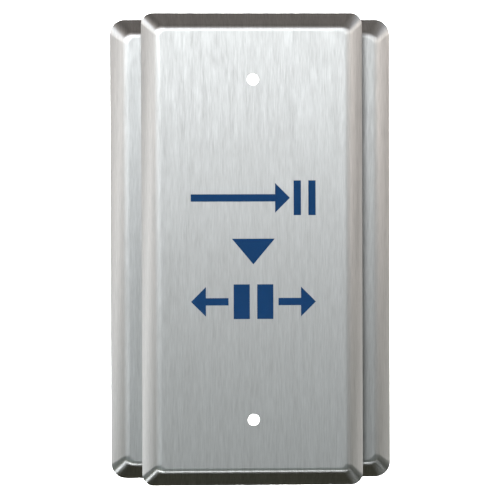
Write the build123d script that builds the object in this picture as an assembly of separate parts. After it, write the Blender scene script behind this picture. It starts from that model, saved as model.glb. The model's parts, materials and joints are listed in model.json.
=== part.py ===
"""Wall push plate that opens an automatic door for a pedestrian.

A narrow stainless steel push plate floats on four springs in front of a wider back plate, which
screws to a one-gang wall box. Pressing it anywhere moves four studs through bushes in the back
plate and swings the roller lever of a snap-action switch that hangs in the box behind.

Everything is modelled lying on its back: X to the right, Y up the plate and Z out of the wall,
with Z = 0 on the wall. stand_up() turns it to the part's own frame, +Z up and facing -Y, with
the origin at the centre of the back plate on the wall.
"""

import os
from math import asin, atan2, cos, degrees, hypot, radians, sin, tan

from build123d import *

# ---------------------------------------------------------------- driving dimensions, mm
TRAVEL = 2.5  # how far the push plate goes in
RIM_CLEARANCE = 0.3  # left between the push plate's rim and the back plate at full travel

FLANGE_SLOPE = 60.0  # degrees between a pressed flange and the face
BEND_R = 2.0  # outside radius of the bend between the face and a flange

BACK_W, BACK_H = 69.85, 114.3  # the standard one-gang wall plate
BACK_DEPTH = 6.4
BACK_GAUGE = 1.0
BACK_RIM_R, BACK_FACE_R = 3.8, 2.8  # plan radii of the corners, at the rim and at the face

PUSH_W, PUSH_H = 54.6, 116.6
PUSH_DEPTH = 6.4
PUSH_GAUGE = 1.2
PUSH_RIM_R, PUSH_FACE_R = 2.9, 2.3

BOX_SCREW_SPACING = 83.34  # the screw ears of a one-gang wall box
BOX_SLOT_W, BOX_SLOT_L = 4.4, 6.4  # slots for the box's screws
KEY_HOLE_D = 2.9  # hole in the push plate that lets a hex key reach a box screw

STUD_X, STUD_Y = 15.5, 30.0  # places of the four guide studs, from the centre
STUD_D = 3.0
STUD_FOOT_D, STUD_FOOT_T = 5.0, 0.7
STUD_PAST_NUT = 1.0
STUD_POINT = 0.4  # chamfer at the stud's end

BUSH_D = 5.0
BUSH_FLANGE_D, BUSH_FLANGE_T = 8.0, 0.8
BUSH_TAIL = 1.0  # how far the bush reaches behind the back plate
REST_GAP = 0.1  # between the stud washers and the bushes at rest
RUNNING_CLEARANCE = 0.05  # radial, between a stud and its bush

SPRING_WIRE_D = 0.5
SPRING_MEAN_D = 6.2
SPRING_TURNS = 5
SPRING_END_CLEARANCE = 0.02

BUMPER_X, BUMPER_Y = 15.5, 46.5
BUMPER_D = 6.0
BUMPER_STEM_D, BUMPER_BULB_D, BUMPER_BULB_H = 3.0, 4.2, 1.8
BUMPER_CLEARANCE = 0.1  # left above a bumper at full travel
BUMPER_ROUNDING = 0.8
BUMPER_TAIL_D = 2.2  # at the end of the bulb

WASHER_D, WASHER_T = 7.0, 0.5
WASHER_CLEARANCE = 0.1  # radial, round the stud
NUT_FLATS, NUT_H = 5.5, 2.4
LOCK_NUT_H = 4.0
LOCK_COLLAR_D, LOCK_COLLAR_WALL = 5.3, 0.5
LOCK_INSERT_H, LOCK_INSERT_SHORT = 1.2, 0.2  # the ring ends short of the collar's lip
THREAD_CLEARANCE = 0.01  # radial, between a nut's bore and its screw

SCREW_D = 3.0
SCREW_HOLE_D = 3.4
SCREW_HEAD_D, SCREW_HEAD_H = 5.6, 2.0
SCREW_HEAD_CROWN_D, SCREW_HEAD_SIDE_H = 3.5, 0.9  # flat on top of the head, and its upright side
SCREW_POINT = 0.45  # chamfer at the screw's end
SCREW_RECESS_L, SCREW_RECESS_W, SCREW_RECESS_DEPTH = 3.2, 0.8, 1.1

SWITCH_L, SWITCH_T, SWITCH_H = 27.8, 10.3, 15.9  # miniature snap-action switch
SWITCH_COVER_T = 2.0
SWITCH_END_WALL, SWITCH_SIDE_WALL, SWITCH_TOP_WALL = 1.3, 1.2, 1.5
SWITCH_EDGE_R = 0.4
SWITCH_PROUD = 0.4  # how far the switch stands below the back plate's face
SWITCH_SCREW_Y = 11.1  # one screw each side of the middle
SWITCH_SCREW_DEEP, SWITCH_SCREW_SHALLOW = 12.6, 4.0  # below the top of the switch
SWITCH_BOSS_D = 5.2
SWITCH_SCREW_D, SWITCH_SCREW_L = 3.0, 16.0
SWITCH_SCREW_CLEARANCE = 0.1
WINDOW_CLEARANCE = 0.5  # around the switch in the back plate's window

BRACKET_T = 1.2
BRACKET_L = 29.0
BRACKET_FLANGE_W, BRACKET_FLANGE_L = 11.0, 15.0
BRACKET_TOP_GAP = 0.3  # between the web's ears and the back plate
BRACKET_WEB_SHORT = 1.0  # how far the web ends above the bottom of the switch
BRACKET_SCREW_Y = 4.4
BRACKET_SCREW_L = 6.0
BRACKET_BEND_R = 0.6

ROLLER_D, ROLLER_W = 4.5, 3.2
ROLLER_GAP = 0.2  # between the roller and the push plate at rest
ROLLER_Y = 8.0
ROLLER_CHAMFER = 0.3
ROLLER_PIN_D = 1.2
ROLLER_PIN_PROUD = 0.15  # how far the pin stands out of each ear of the lever
LEVER_W, LEVER_T = 4.3, 0.4
LEVER_EAR_D = 2.4  # round the roller's pin
LEVER_STEP_BACK = 3.45  # from the roller's middle to where the lever runs level under it
LEVER_CURL_D = 2.0
LEVER_PIVOT_Y, LEVER_PIVOT_RISE = -11.5, 1.2
LEVER_KNEE_Y, LEVER_KNEE_RISE = -2.5, 2.0
LEVER_TOE_Y = 10.2
PIVOT_PIN_D = 1.2
PIVOT_EAR_W = 2.4  # along the switch
PIVOT_EAR_T = 1.0
PIVOT_EAR_GAP = 0.2  # between the lever and the ear of the housing
PIN_CLEARANCE = 0.03  # radial, where a lever or a roller turns on its pin

PLUNGER_Y = -5.0
PLUNGER_D, PLUNGER_STEM_D = 2.2, 1.6
PLUNGER_COLLAR_D, PLUNGER_COLLAR_T = 3.6, 1.0
PLUNGER_GAP = 0.1  # under the lever at rest
PLUNGER_CLEARANCE = 0.1  # radial, in the top wall of the switch
PLUNGER_COLLAR_GAP = 0.2  # under the top wall at rest
PLUNGER_TIP = 0.4  # chamfer at its top

BLADE_W, BLADE_T = 3.0, 0.2
BLADE_DEPTH = 7.0  # of the contact blade's middle plane, below the top of the switch
BLADE_PIVOT_Y, BLADE_TIP_Y = 9.5, -11.6
BLADE_CURL_D = 0.6  # the rolled end that rocks on the common terminal
CONTACT_Y = -10.3
CONTACT_D, CONTACT_H = 2.2, 0.45
RIVET_D = 1.1  # of the moving contact, in the blade
CONTACT_GAP = 0.05
TERMINAL_T, TERMINAL_W, TERMINAL_L = 0.5, 4.75, 6.4
TERMINAL_HOLE_D, TERMINAL_HOLE_RISE = 1.6, 2.6  # the hole's place is from the tab's end
TERMINAL_LEAD_IN = 1.0  # chamfer at the tab's end
SHELF_MARGIN = 0.2  # round a contact
COMMON_SHELF_INSET = 1.2  # of the shelf from the middle of the common tab
CLOSED_ARM_H = 1.2
COMMON_Y, OPEN_Y, CLOSED_Y = 9.0, -3.6, 2.7
CLOSED_SIDE_X = -3.0  # the arm of the normally closed terminal passes beside the blade

ETCH_DEPTH, INK_SHORT = 0.2, 0.02  # the symbols are etched, and filled to just under the face
SYMBOL_STROKE = 1.8
SYMBOL_ROW = 8.5  # height of a row of symbols
SYMBOL_PITCH = 12.7  # from row to row
SYMBOL_W = 30.6
ARROW_HEAD = 0.86  # height of an arrow's head, of the row's
WALL_STEPS = 2.0, 1.5  # strokes from the wall to the plate and from the plate to the arrow's tip
TRIANGLE_TIP, TRIANGLE_BASE, TRIANGLE_HALF_W = 0.42, 0.32, 0.62  # from its middle, of the row's height
LEAF_W, LEAF_GAP, LEAF_TO_ARROW = 2.2, 1.0, 0.7  # in strokes

# ---------------------------------------------------------------- places that follow
flange_run_per_depth = 1 / tan(radians(FLANGE_SLOPE))
back_face_z = BACK_DEPTH
back_rear_z = BACK_DEPTH - BACK_GAUGE
push_rim_z = back_face_z + TRAVEL + RIM_CLEARANCE
push_face_z = push_rim_z + PUSH_DEPTH
push_rear_z = push_face_z - PUSH_GAUGE
bush_tail_z = back_rear_z - BUSH_TAIL
washer_z = bush_tail_z - REST_GAP
lock_nut_z = washer_z - WASHER_T
stud_end_z = lock_nut_z - LOCK_NUT_H - STUD_PAST_NUT

switch_top_z = back_face_z - SWITCH_PROUD
switch_split_x = SWITCH_T / 2 - SWITCH_COVER_T
bracket_x = -SWITCH_T / 2 - BRACKET_T
pivot_z = switch_top_z + LEVER_PIVOT_RISE
roller_z = push_rear_z - ROLLER_GAP - ROLLER_D / 2
lever_end_z = roller_z - ROLLER_D / 2 - ROLLER_GAP - LEVER_T / 2

STUD_PLACES = {
    "upper_left": (-STUD_X, STUD_Y),
    "upper_right": (STUD_X, STUD_Y),
    "lower_left": (-STUD_X, -STUD_Y),
    "lower_right": (STUD_X, -STUD_Y),
}
BUMPER_PLACES = {
    name: (BUMPER_X if x > 0 else -BUMPER_X, BUMPER_Y if y > 0 else -BUMPER_Y)
    for name, (x, y) in STUD_PLACES.items()
}
BOX_SCREW_PLACES = [(0, BOX_SCREW_SPACING / 2), (0, -BOX_SCREW_SPACING / 2)]
BRACKET_SCREW_X = bracket_x - BRACKET_FLANGE_W / 2
BRACKET_SCREW_PLACES = [(BRACKET_SCREW_X, BRACKET_SCREW_Y), (BRACKET_SCREW_X, -BRACKET_SCREW_Y)]
SWITCH_SCREW_PLACES = [
    (SWITCH_SCREW_Y, switch_top_z - SWITCH_SCREW_SHALLOW),
    (-SWITCH_SCREW_Y, switch_top_z - SWITCH_SCREW_DEEP),
]


# ---------------------------------------------------------------- shared shapes
def rod(diameter, low, high, x=0.0, y=0.0):
    """A round bar along Z between two heights."""
    return Pos(x, y, (low + high) / 2) * Cylinder(diameter / 2, high - low)


def cross_rod(diameter, left, right, y, z):
    """A round bar along X between two places."""
    return Pos((left + right) / 2, y, z) * Rot(0, 90, 0) * Cylinder(diameter / 2, right - left)


def slab(x_range, y_range, z_range):
    """A rectangular block given by its limits."""
    size = [high - low for low, high in (x_range, y_range, z_range)]
    middle = [(low + high) / 2 for low, high in (x_range, y_range, z_range)]
    return Pos(*middle) * Box(*size)


def turned(points):
    """A solid of revolution about Z from the outline of its right half, points as (radius, z)."""
    outline = make_face(Polyline(*[(r, 0, z) for r, z in points], close=True))
    return revolve(outline, axis=Axis.Z)


def tray_block(width, height, depth, rim_radius, face_radius, bend_radius):
    """The filled outer or inner form of a pressed tray, with its rim on Z = 0."""
    run = depth * flange_run_per_depth
    rim = RectangleRounded(width, height, rim_radius)
    face = Pos(0, 0, depth) * RectangleRounded(width - 2 * run, height - 2 * run, face_radius)
    block = loft([rim, face], ruled=True)
    top_edges = block.faces().sort_by(Axis.Z)[-1].edges()
    return fillet(top_edges, bend_radius)


def pressed_tray(width, height, depth, gauge, rim_radius, face_radius):
    """Sheet metal pressed to a flat face, a bend and a straight sloping flange all round."""
    lean = gauge / sin(radians(FLANGE_SLOPE))
    outer = tray_block(width, height, depth, rim_radius, face_radius, BEND_R)
    inner = tray_block(
        width - 2 * lean,
        height - 2 * lean,
        depth - gauge,
        rim_radius - lean,
        face_radius - lean,
        BEND_R - gauge,
    )
    return outer - inner


def hex_nut(height, bore):
    """A hexagon nut standing on Z = 0, its corners chamfered at both ends."""
    corners = NUT_FLATS / cos(radians(30))
    body = extrude(RegularPolygon(corners / 2, 6), height)
    chamfer_height = (corners - NUT_FLATS) / 2 * tan(radians(30))
    envelope = turned(
        [
            (0, 0),
            (NUT_FLATS / 2, 0),
            (corners / 2, chamfer_height),
            (corners / 2, height - chamfer_height),
            (NUT_FLATS / 2, height),
            (0, height),
        ]
    )
    return (body & envelope) - rod(bore, -1, height + 1)


def pan_screw(length, diameter):
    """A pan head screw with a cross recess: the head sits on Z = 0 and the shank goes down."""
    head_r, crown_r = SCREW_HEAD_D / 2, SCREW_HEAD_CROWN_D / 2
    head = turned(
        [
            (0, 0),
            (head_r, 0),
            (head_r, SCREW_HEAD_SIDE_H),
            (crown_r, SCREW_HEAD_H),
            (0, SCREW_HEAD_H),
        ]
    )
    recess_z = SCREW_HEAD_H - SCREW_RECESS_DEPTH / 2
    for angle in (0, 90):
        head -= Pos(0, 0, recess_z) * Rot(0, 0, angle) * Box(
            SCREW_RECESS_L, SCREW_RECESS_W, SCREW_RECESS_DEPTH
        )
    r = diameter / 2
    shank = turned(
        [(0, 0), (r, 0), (r, SCREW_POINT - length), (r - SCREW_POINT, -length), (0, -length)]
    )
    return head + shank


def at_each(places, shape, z):
    """Separate copies of a shape at several (x, y) places."""
    return [Pos(x, y, z) * shape for x, y in places]


# ---------------------------------------------------------------- symbols on the push plate
def arrow(length):
    """A flat arrow pointing along +X, its tip at the origin."""
    half_stroke, half_head = SYMBOL_STROKE / 2, SYMBOL_ROW * ARROW_HEAD / 2
    return make_face(
        Polyline(
            (0, 0),
            (-half_head, half_head),
            (-half_head, half_stroke),
            (-length, half_stroke),
            (-length, -half_stroke),
            (-half_head, -half_stroke),
            (-half_head, -half_head),
            close=True,
        )
    )


def press_symbol():
    """An arrow against an upright plate, with the wall behind it."""
    to_plate, to_tip = WALL_STEPS
    wall_x = SYMBOL_W / 2
    plate_x = wall_x - to_plate * SYMBOL_STROKE
    tip_x = plate_x - to_tip * SYMBOL_STROKE
    bar = Pos(-SYMBOL_STROKE / 2, 0) * Rectangle(SYMBOL_STROKE, SYMBOL_ROW)
    return [Pos(wall_x, 0) * bar, Pos(plate_x, 0) * bar, Pos(tip_x, 0) * arrow(tip_x + SYMBOL_W / 2)]


def next_symbol():
    """A triangle pointing down from the first row to the last."""
    tip, base, half_w = (SYMBOL_ROW * part for part in (TRIANGLE_TIP, TRIANGLE_BASE, TRIANGLE_HALF_W))
    return [make_face(Polyline((0, -tip), (half_w, base), (-half_w, base), close=True))]


def open_symbol():
    """Two door leaves that part, each with an arrow pointing away from the middle."""
    leaf_w, gap, to_arrow = (SYMBOL_STROKE * part for part in (LEAF_W, LEAF_GAP, LEAF_TO_ARROW))
    leaf = Pos((gap + leaf_w) / 2, 0) * Rectangle(leaf_w, SYMBOL_ROW)
    tip_x = SYMBOL_W / 2
    pointer = Pos(tip_x, 0) * arrow(tip_x - gap / 2 - leaf_w - to_arrow)
    return [Rot(0, 0, turn) * mark for turn in (0, 180) for mark in (leaf, pointer)]


def symbol_marks():
    """Every mark as a flat face on Z = 0, at its place on the plate."""
    rows = [(SYMBOL_PITCH, press_symbol()), (0, next_symbol()), (-SYMBOL_PITCH, open_symbol())]
    return [Pos(0, row_y) * mark for row_y, marks in rows for mark in marks]


# ---------------------------------------------------------------- plates
def back_plate():
    """The wider tray that screws to the wall box."""
    plate = pressed_tray(BACK_W, BACK_H, BACK_DEPTH, BACK_GAUGE, BACK_RIM_R, BACK_FACE_R)
    through = BACK_DEPTH + 1
    for x, y in BOX_SCREW_PLACES:
        plate -= Pos(x, y) * extrude(SlotOverall(BOX_SLOT_L, BOX_SLOT_W, rotation=90), through)
    for x, y in STUD_PLACES.values():
        plate -= rod(BUSH_D, 0, through, x, y)
    for x, y in BUMPER_PLACES.values():
        plate -= rod(BUMPER_STEM_D, 0, through, x, y)
    for x, y in BRACKET_SCREW_PLACES:
        plate -= rod(SCREW_HOLE_D, 0, through, x, y)
    half_w = SWITCH_T / 2 + WINDOW_CLEARANCE
    half_l = SWITCH_L / 2 + WINDOW_CLEARANCE
    window = RectangleRounded(2 * half_w, 2 * half_l, WINDOW_CLEARANCE)
    return plate - extrude(window, through)


def push_plate(marks):
    """The narrow tray that is pressed, with two key holes and the etched symbols."""
    plate = Pos(0, 0, push_rim_z) * pressed_tray(
        PUSH_W, PUSH_H, PUSH_DEPTH, PUSH_GAUGE, PUSH_RIM_R, PUSH_FACE_R
    )
    for x, y in BOX_SCREW_PLACES:
        plate -= rod(KEY_HOLE_D, push_rim_z, push_face_z + 1, x, y)
    for mark in marks:
        plate -= Pos(0, 0, push_face_z - ETCH_DEPTH) * extrude(mark, 2 * ETCH_DEPTH)
    return plate


def symbol_infill(marks):
    """Enamel that fills the etched symbols, just short of the face."""
    fill = ETCH_DEPTH - INK_SHORT
    return [Pos(0, 0, push_face_z - ETCH_DEPTH) * extrude(mark, fill) for mark in marks]


# ---------------------------------------------------------------- guides, springs and stops
def guide_stud():
    """Stud welded to the back of the push plate by its foot."""
    r = STUD_D / 2
    return turned(
        [
            (0, push_rear_z),
            (STUD_FOOT_D / 2, push_rear_z),
            (STUD_FOOT_D / 2, push_rear_z - STUD_FOOT_T),
            (r, push_rear_z - STUD_FOOT_T),
            (r, stud_end_z + STUD_POINT),
            (r - STUD_POINT, stud_end_z),
            (0, stud_end_z),
        ]
    )


def guide_bush():
    """Flanged acetal bush in the back plate, which a stud slides in."""
    bore_r = STUD_D / 2 + RUNNING_CLEARANCE
    return turned(
        [
            (bore_r, back_face_z + BUSH_FLANGE_T),
            (BUSH_FLANGE_D / 2, back_face_z + BUSH_FLANGE_T),
            (BUSH_FLANGE_D / 2, back_face_z),
            (BUSH_D / 2, back_face_z),
            (BUSH_D / 2, bush_tail_z),
            (bore_r, bush_tail_z),
        ]
    )


def return_spring():
    """Compression spring between a bush's flange and the push plate."""
    inset = SPRING_WIRE_D / 2 + SPRING_END_CLEARANCE
    low = back_face_z + BUSH_FLANGE_T + inset
    height = push_rear_z - inset - low
    path = Helix(height / SPRING_TURNS, height, SPRING_MEAN_D / 2)
    start = Plane(origin=path @ 0, z_dir=path % 0)
    wire = sweep(start * Circle(SPRING_WIRE_D / 2), path=path, is_frenet=True)
    return Pos(0, 0, low) * wire


def travel_bumper():
    """Silicone stop that snaps into the back plate and ends the plate's travel."""
    r = BUMPER_D / 2
    top = push_rear_z - TRAVEL - BUMPER_CLEARANCE
    bulb_low = back_rear_z - BUMPER_BULB_H
    return turned(
        [
            (0, top),
            (r - BUMPER_ROUNDING, top),
            (r, top - BUMPER_ROUNDING),
            (r, back_face_z),
            (BUMPER_STEM_D / 2, back_face_z),
            (BUMPER_STEM_D / 2, back_rear_z),
            (BUMPER_BULB_D / 2, back_rear_z),
            (BUMPER_TAIL_D / 2, bulb_low),
            (0, bulb_low),
        ]
    )


def stud_washer():
    bore = STUD_D + 2 * WASHER_CLEARANCE
    return rod(WASHER_D, lock_nut_z, washer_z) - rod(bore, lock_nut_z - 1, washer_z + 1)


def lock_nut_parts():
    """A nut with a crimped collar, and the nylon ring that the collar holds."""
    bore = STUD_D + 2 * THREAD_CLEARANCE
    hex_h = LOCK_NUT_H - LOCK_INSERT_H
    nut = hex_nut(hex_h, bore)
    insert_d = LOCK_COLLAR_D - 2 * LOCK_COLLAR_WALL
    collar = rod(LOCK_COLLAR_D, hex_h, LOCK_NUT_H) - rod(insert_d, hex_h, LOCK_NUT_H + 1)
    insert = rod(insert_d, hex_h, LOCK_NUT_H - LOCK_INSERT_SHORT)
    insert -= rod(bore, hex_h - 1, LOCK_NUT_H + 1)
    turn_over = Pos(0, 0, lock_nut_z) * Rot(180, 0, 0)
    return turn_over * (nut + collar), turn_over * insert


# ---------------------------------------------------------------- switch and its bracket
def switch_bracket():
    """Angle of zinc-plated sheet behind the back plate, which the switch is screwed to."""
    low = switch_top_z - SWITCH_H + BRACKET_WEB_SHORT
    web_x = (bracket_x, -SWITCH_T / 2)
    half, flange_half = BRACKET_L / 2, BRACKET_FLANGE_L / 2
    flange_low = back_rear_z - BRACKET_T
    angle = slab(web_x, (-flange_half, flange_half), (low, back_rear_z))
    angle += slab(
        (bracket_x - BRACKET_FLANGE_W, web_x[1]), (-flange_half, flange_half), (flange_low, back_rear_z)
    )
    along = angle.edges().filter_by(Axis.Y)
    inside = along.sort_by_distance((bracket_x, 0, flange_low))[0]
    angle = fillet(inside, BRACKET_BEND_R)
    outside = angle.edges().filter_by(Axis.Y).sort_by_distance((web_x[1], 0, back_rear_z))[0]
    angle = fillet(outside, BRACKET_BEND_R + BRACKET_T)
    angle += slab(web_x, (-half, half), (low, back_rear_z - BRACKET_TOP_GAP - BRACKET_BEND_R - BRACKET_T))
    for side in (-1, 1):
        ear_y = sorted((side * (flange_half + BRACKET_TOP_GAP), side * half))
        angle += slab(web_x, ear_y, (low, back_rear_z - BRACKET_TOP_GAP))
    for x, y in BRACKET_SCREW_PLACES:
        angle -= rod(SCREW_HOLE_D, 0, back_rear_z + 1, x, y)
    for y, z in SWITCH_SCREW_PLACES:
        angle -= cross_rod(SCREW_HOLE_D, bracket_x - 1, -SWITCH_T / 2 + 1, y, z)
    return angle


def pivot_ear(x_range):
    """A lug on top of the switch that holds one end of the lever's pin."""
    half = PIVOT_EAR_W / 2
    root_z = switch_top_z - SWITCH_EDGE_R
    ear = slab(x_range, (LEVER_PIVOT_Y - half, LEVER_PIVOT_Y + half), (root_z, pivot_z))
    ear += cross_rod(PIVOT_EAR_W, x_range[0], x_range[1], LEVER_PIVOT_Y, pivot_z)
    return ear - cross_rod(PIVOT_PIN_D, x_range[0] - 1, x_range[1] + 1, LEVER_PIVOT_Y, pivot_z)


def switch_case():
    """The deep half of the switch's housing, open on its +X side."""
    half_l = SWITCH_L / 2
    low = switch_top_z - SWITCH_H
    left = -SWITCH_T / 2
    body = slab((left, switch_split_x), (-half_l, half_l), (low, switch_top_z))
    body = fillet(body.edges().filter_by(Axis.X), SWITCH_EDGE_R)
    body -= slab(
        (left + SWITCH_SIDE_WALL, switch_split_x + 1),
        (-half_l + SWITCH_END_WALL, half_l - SWITCH_END_WALL),
        (low + SWITCH_TOP_WALL, switch_top_z - SWITCH_TOP_WALL),
    )
    shell = slab((left, switch_split_x), (-half_l, half_l), (low, switch_top_z))
    hole_d = SWITCH_SCREW_D + 2 * SWITCH_SCREW_CLEARANCE
    for y, z in SWITCH_SCREW_PLACES:
        body += cross_rod(SWITCH_BOSS_D, left, switch_split_x, y, z) & shell
        body -= cross_rod(hole_d, left - 1, switch_split_x + 1, y, z)
    ear_left = -LEVER_W / 2 - PIVOT_EAR_GAP - PIVOT_EAR_T
    body += pivot_ear((ear_left, ear_left + PIVOT_EAR_T))
    body -= rod(PLUNGER_D + 2 * PLUNGER_CLEARANCE, switch_top_z - 2, switch_top_z + 1, 0, PLUNGER_Y)
    for terminal_x, terminal_y in TERMINAL_PLACES:
        body -= terminal_blank(terminal_x, terminal_y, low - 1, low + SWITCH_TOP_WALL + 1)
    return body


def switch_cover():
    """The flat half of the housing."""
    half_l = SWITCH_L / 2
    low = switch_top_z - SWITCH_H
    right = SWITCH_T / 2
    plate = slab((switch_split_x, right), (-half_l, half_l), (low, switch_top_z))
    plate = fillet(plate.edges().filter_by(Axis.X), SWITCH_EDGE_R)
    for y, z in SWITCH_SCREW_PLACES:
        hole_d = SWITCH_SCREW_D + 2 * SWITCH_SCREW_CLEARANCE
        plate -= cross_rod(hole_d, switch_split_x - 1, right + 1, y, z)
    return plate + pivot_ear((switch_split_x, switch_split_x + PIVOT_EAR_T))


def lever_pivot_pin():
    """Pin between the two ears, which the lever's curl turns on."""
    left = -LEVER_W / 2 - PIVOT_EAR_GAP - PIVOT_EAR_T
    return cross_rod(PIVOT_PIN_D, left, switch_split_x + PIVOT_EAR_T, LEVER_PIVOT_Y, pivot_z)


def lever_line():
    """The lever's middle line from its curl to its toe, as (y, z)."""
    return [
        (LEVER_PIVOT_Y, pivot_z + LEVER_CURL_D / 2 - LEVER_T / 2),
        (LEVER_KNEE_Y, switch_top_z + LEVER_KNEE_RISE),
        (ROLLER_Y - LEVER_STEP_BACK, lever_end_z),
        (LEVER_TOE_Y, lever_end_z),
    ]


def switch_lever():
    """Spring steel lever: a curl round the pivot pin, a cranked strip and two ears for the roller."""
    line = lever_line()
    strip = None
    for (y0, z0), (y1, z1) in zip(line, line[1:]):
        length = hypot(y1 - y0, z1 - z0)
        angle = degrees(atan2(z1 - z0, y1 - y0))
        piece = Pos(0, (y0 + y1) / 2, (z0 + z1) / 2) * Rot(angle, 0, 0) * Box(LEVER_W, length, LEVER_T)
        joint = cross_rod(LEVER_T, -LEVER_W / 2, LEVER_W / 2, y1, z1)
        strip = piece + joint if strip is None else strip + piece + joint
    strip += cross_rod(LEVER_CURL_D, -LEVER_W / 2, LEVER_W / 2, LEVER_PIVOT_Y, pivot_z)
    bore = PIVOT_PIN_D + 2 * PIN_CLEARANCE
    strip -= cross_rod(bore, -LEVER_W, LEVER_W, LEVER_PIVOT_Y, pivot_z)
    ear_r = LEVER_EAR_D / 2
    for side in (-1, 1):
        inner, outer = sorted((side * (LEVER_W / 2 - LEVER_T), side * LEVER_W / 2))
        ear = slab((inner, outer), (ROLLER_Y - ear_r, ROLLER_Y + ear_r), (lever_end_z, roller_z))
        ear += cross_rod(LEVER_EAR_D, inner, outer, ROLLER_Y, roller_z)
        strip += ear - cross_rod(ROLLER_PIN_D, -LEVER_W, LEVER_W, ROLLER_Y, roller_z)
    return strip


def roller_pin():
    half = LEVER_W / 2 + ROLLER_PIN_PROUD
    return cross_rod(ROLLER_PIN_D, -half, half, ROLLER_Y, roller_z)


def lever_roller():
    """Acetal roller that runs on the back of the push plate."""
    half = ROLLER_W / 2
    roller = cross_rod(ROLLER_D, -half, half, ROLLER_Y, roller_z)
    roller = chamfer(roller.edges().filter_by(GeomType.CIRCLE), ROLLER_CHAMFER)
    bore = ROLLER_PIN_D + 2 * PIN_CLEARANCE
    return roller - cross_rod(bore, -half - 1, half + 1, ROLLER_Y, roller_z)


def lever_under_z():
    """Height of the lever's underside over the plunger."""
    (y0, z0), (y1, z1) = lever_line()[:2]
    slope = (z1 - z0) / (y1 - y0)
    return z0 + slope * (PLUNGER_Y - y0) - LEVER_T / 2 * hypot(1, slope)


def switch_plunger():
    """Pin that the lever presses and that bends the contact blade."""
    top = lever_under_z() - PLUNGER_GAP
    collar_top = switch_top_z - SWITCH_TOP_WALL - PLUNGER_COLLAR_GAP
    foot = switch_top_z - BLADE_DEPTH + BLADE_T / 2 + CONTACT_GAP
    r, stem_r = PLUNGER_D / 2, PLUNGER_STEM_D / 2
    pin = turned(
        [
            (0, top),
            (r - PLUNGER_TIP, top),
            (r, top - PLUNGER_TIP),
            (r, collar_top),
            (PLUNGER_COLLAR_D / 2, collar_top),
            (PLUNGER_COLLAR_D / 2, collar_top - PLUNGER_COLLAR_T),
            (stem_r, collar_top - PLUNGER_COLLAR_T),
            (stem_r, foot),
            (0, foot),
        ]
    )
    return Pos(0, PLUNGER_Y) * pin


# ---------------------------------------------------------------- contacts and terminals
TERMINAL_PLACES = [(0, COMMON_Y), (0, OPEN_Y), (CLOSED_SIDE_X, CLOSED_Y)]


def terminal_blank(x, y, low, high):
    """The flat strip of a terminal between two heights."""
    half_t, half_w = TERMINAL_T / 2, TERMINAL_W / 2
    return slab((x - half_t, x + half_t), (y - half_w, y + half_w), (low, high))


def terminal_tab(x, y, top):
    """A push-on tab through the bottom wall, with its hole and a pointed lead-in."""
    low = switch_top_z - SWITCH_H - TERMINAL_L
    tab = terminal_blank(x, y, low, top)
    edges = [e for e in tab.edges().filter_by(Axis.X) if abs(e.center().Z - low) < 0.01]
    tab = chamfer(edges, TERMINAL_LEAD_IN)
    return tab - cross_rod(TERMINAL_HOLE_D, x - 1, x + 1, y, low + TERMINAL_HOLE_RISE)


def terminal_common(blade_z):
    """Holds the pivot end of the blade on a shelf."""
    shelf_top = blade_z - BLADE_CURL_D / 2 - CONTACT_GAP
    tab = terminal_tab(0, COMMON_Y, shelf_top)
    shelf = slab(
        (-BLADE_W / 2, BLADE_W / 2),
        (COMMON_Y - COMMON_SHELF_INSET, COMMON_Y + TERMINAL_W / 2),
        (shelf_top - TERMINAL_T, shelf_top),
    )
    return tab + shelf


def terminal_open(shelf_top):
    """Carries the contact below the blade's tip."""
    tab = terminal_tab(0, OPEN_Y, shelf_top)
    shelf = slab(
        (-BLADE_W / 2, BLADE_W / 2),
        (CONTACT_Y - CONTACT_D / 2 - SHELF_MARGIN, OPEN_Y + TERMINAL_W / 2),
        (shelf_top - TERMINAL_T, shelf_top),
    )
    return tab + shelf


def terminal_closed(shelf_low):
    """Passes beside the blade and carries the contact above its tip."""
    shelf_top = shelf_low + TERMINAL_T
    tab = terminal_tab(CLOSED_SIDE_X, CLOSED_Y, shelf_top)
    near, far = CONTACT_Y - CONTACT_D / 2 - SHELF_MARGIN, CLOSED_Y + TERMINAL_W / 2
    left, right = CLOSED_SIDE_X - TERMINAL_T / 2, CLOSED_SIDE_X + TERMINAL_T / 2
    arm = slab((left, right), (near, far), (shelf_top - CLOSED_ARM_H, shelf_top))
    shelf_far = CONTACT_Y + CONTACT_D / 2 + SHELF_MARGIN
    shelf = slab((left, BLADE_W / 2), (near, shelf_far), (shelf_low, shelf_top))
    return tab + arm + shelf


def contact_blade(blade_z):
    """Copper alloy blade that the plunger swings from one contact to the other."""
    half_w, half_t = BLADE_W / 2, BLADE_T / 2
    thickness = (blade_z - half_t, blade_z + half_t)
    blade = slab((-half_w, half_w), (BLADE_TIP_Y, BLADE_PIVOT_Y), thickness)
    blade += cross_rod(BLADE_CURL_D, -half_w, half_w, BLADE_PIVOT_Y, blade_z)
    return blade - rod(RIVET_D, blade_z - 1, blade_z + 1, 0, CONTACT_Y)


def moving_contact(blade_z):
    """Silver rivet through the blade's tip, with a head above and below."""
    half_t = BLADE_T / 2
    rivet = rod(RIVET_D, blade_z - half_t, blade_z + half_t, 0, CONTACT_Y)
    rivet += rod(CONTACT_D, blade_z + half_t, blade_z + half_t + CONTACT_H, 0, CONTACT_Y)
    return rivet + rod(CONTACT_D, blade_z - half_t - CONTACT_H, blade_z - half_t, 0, CONTACT_Y)


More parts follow.
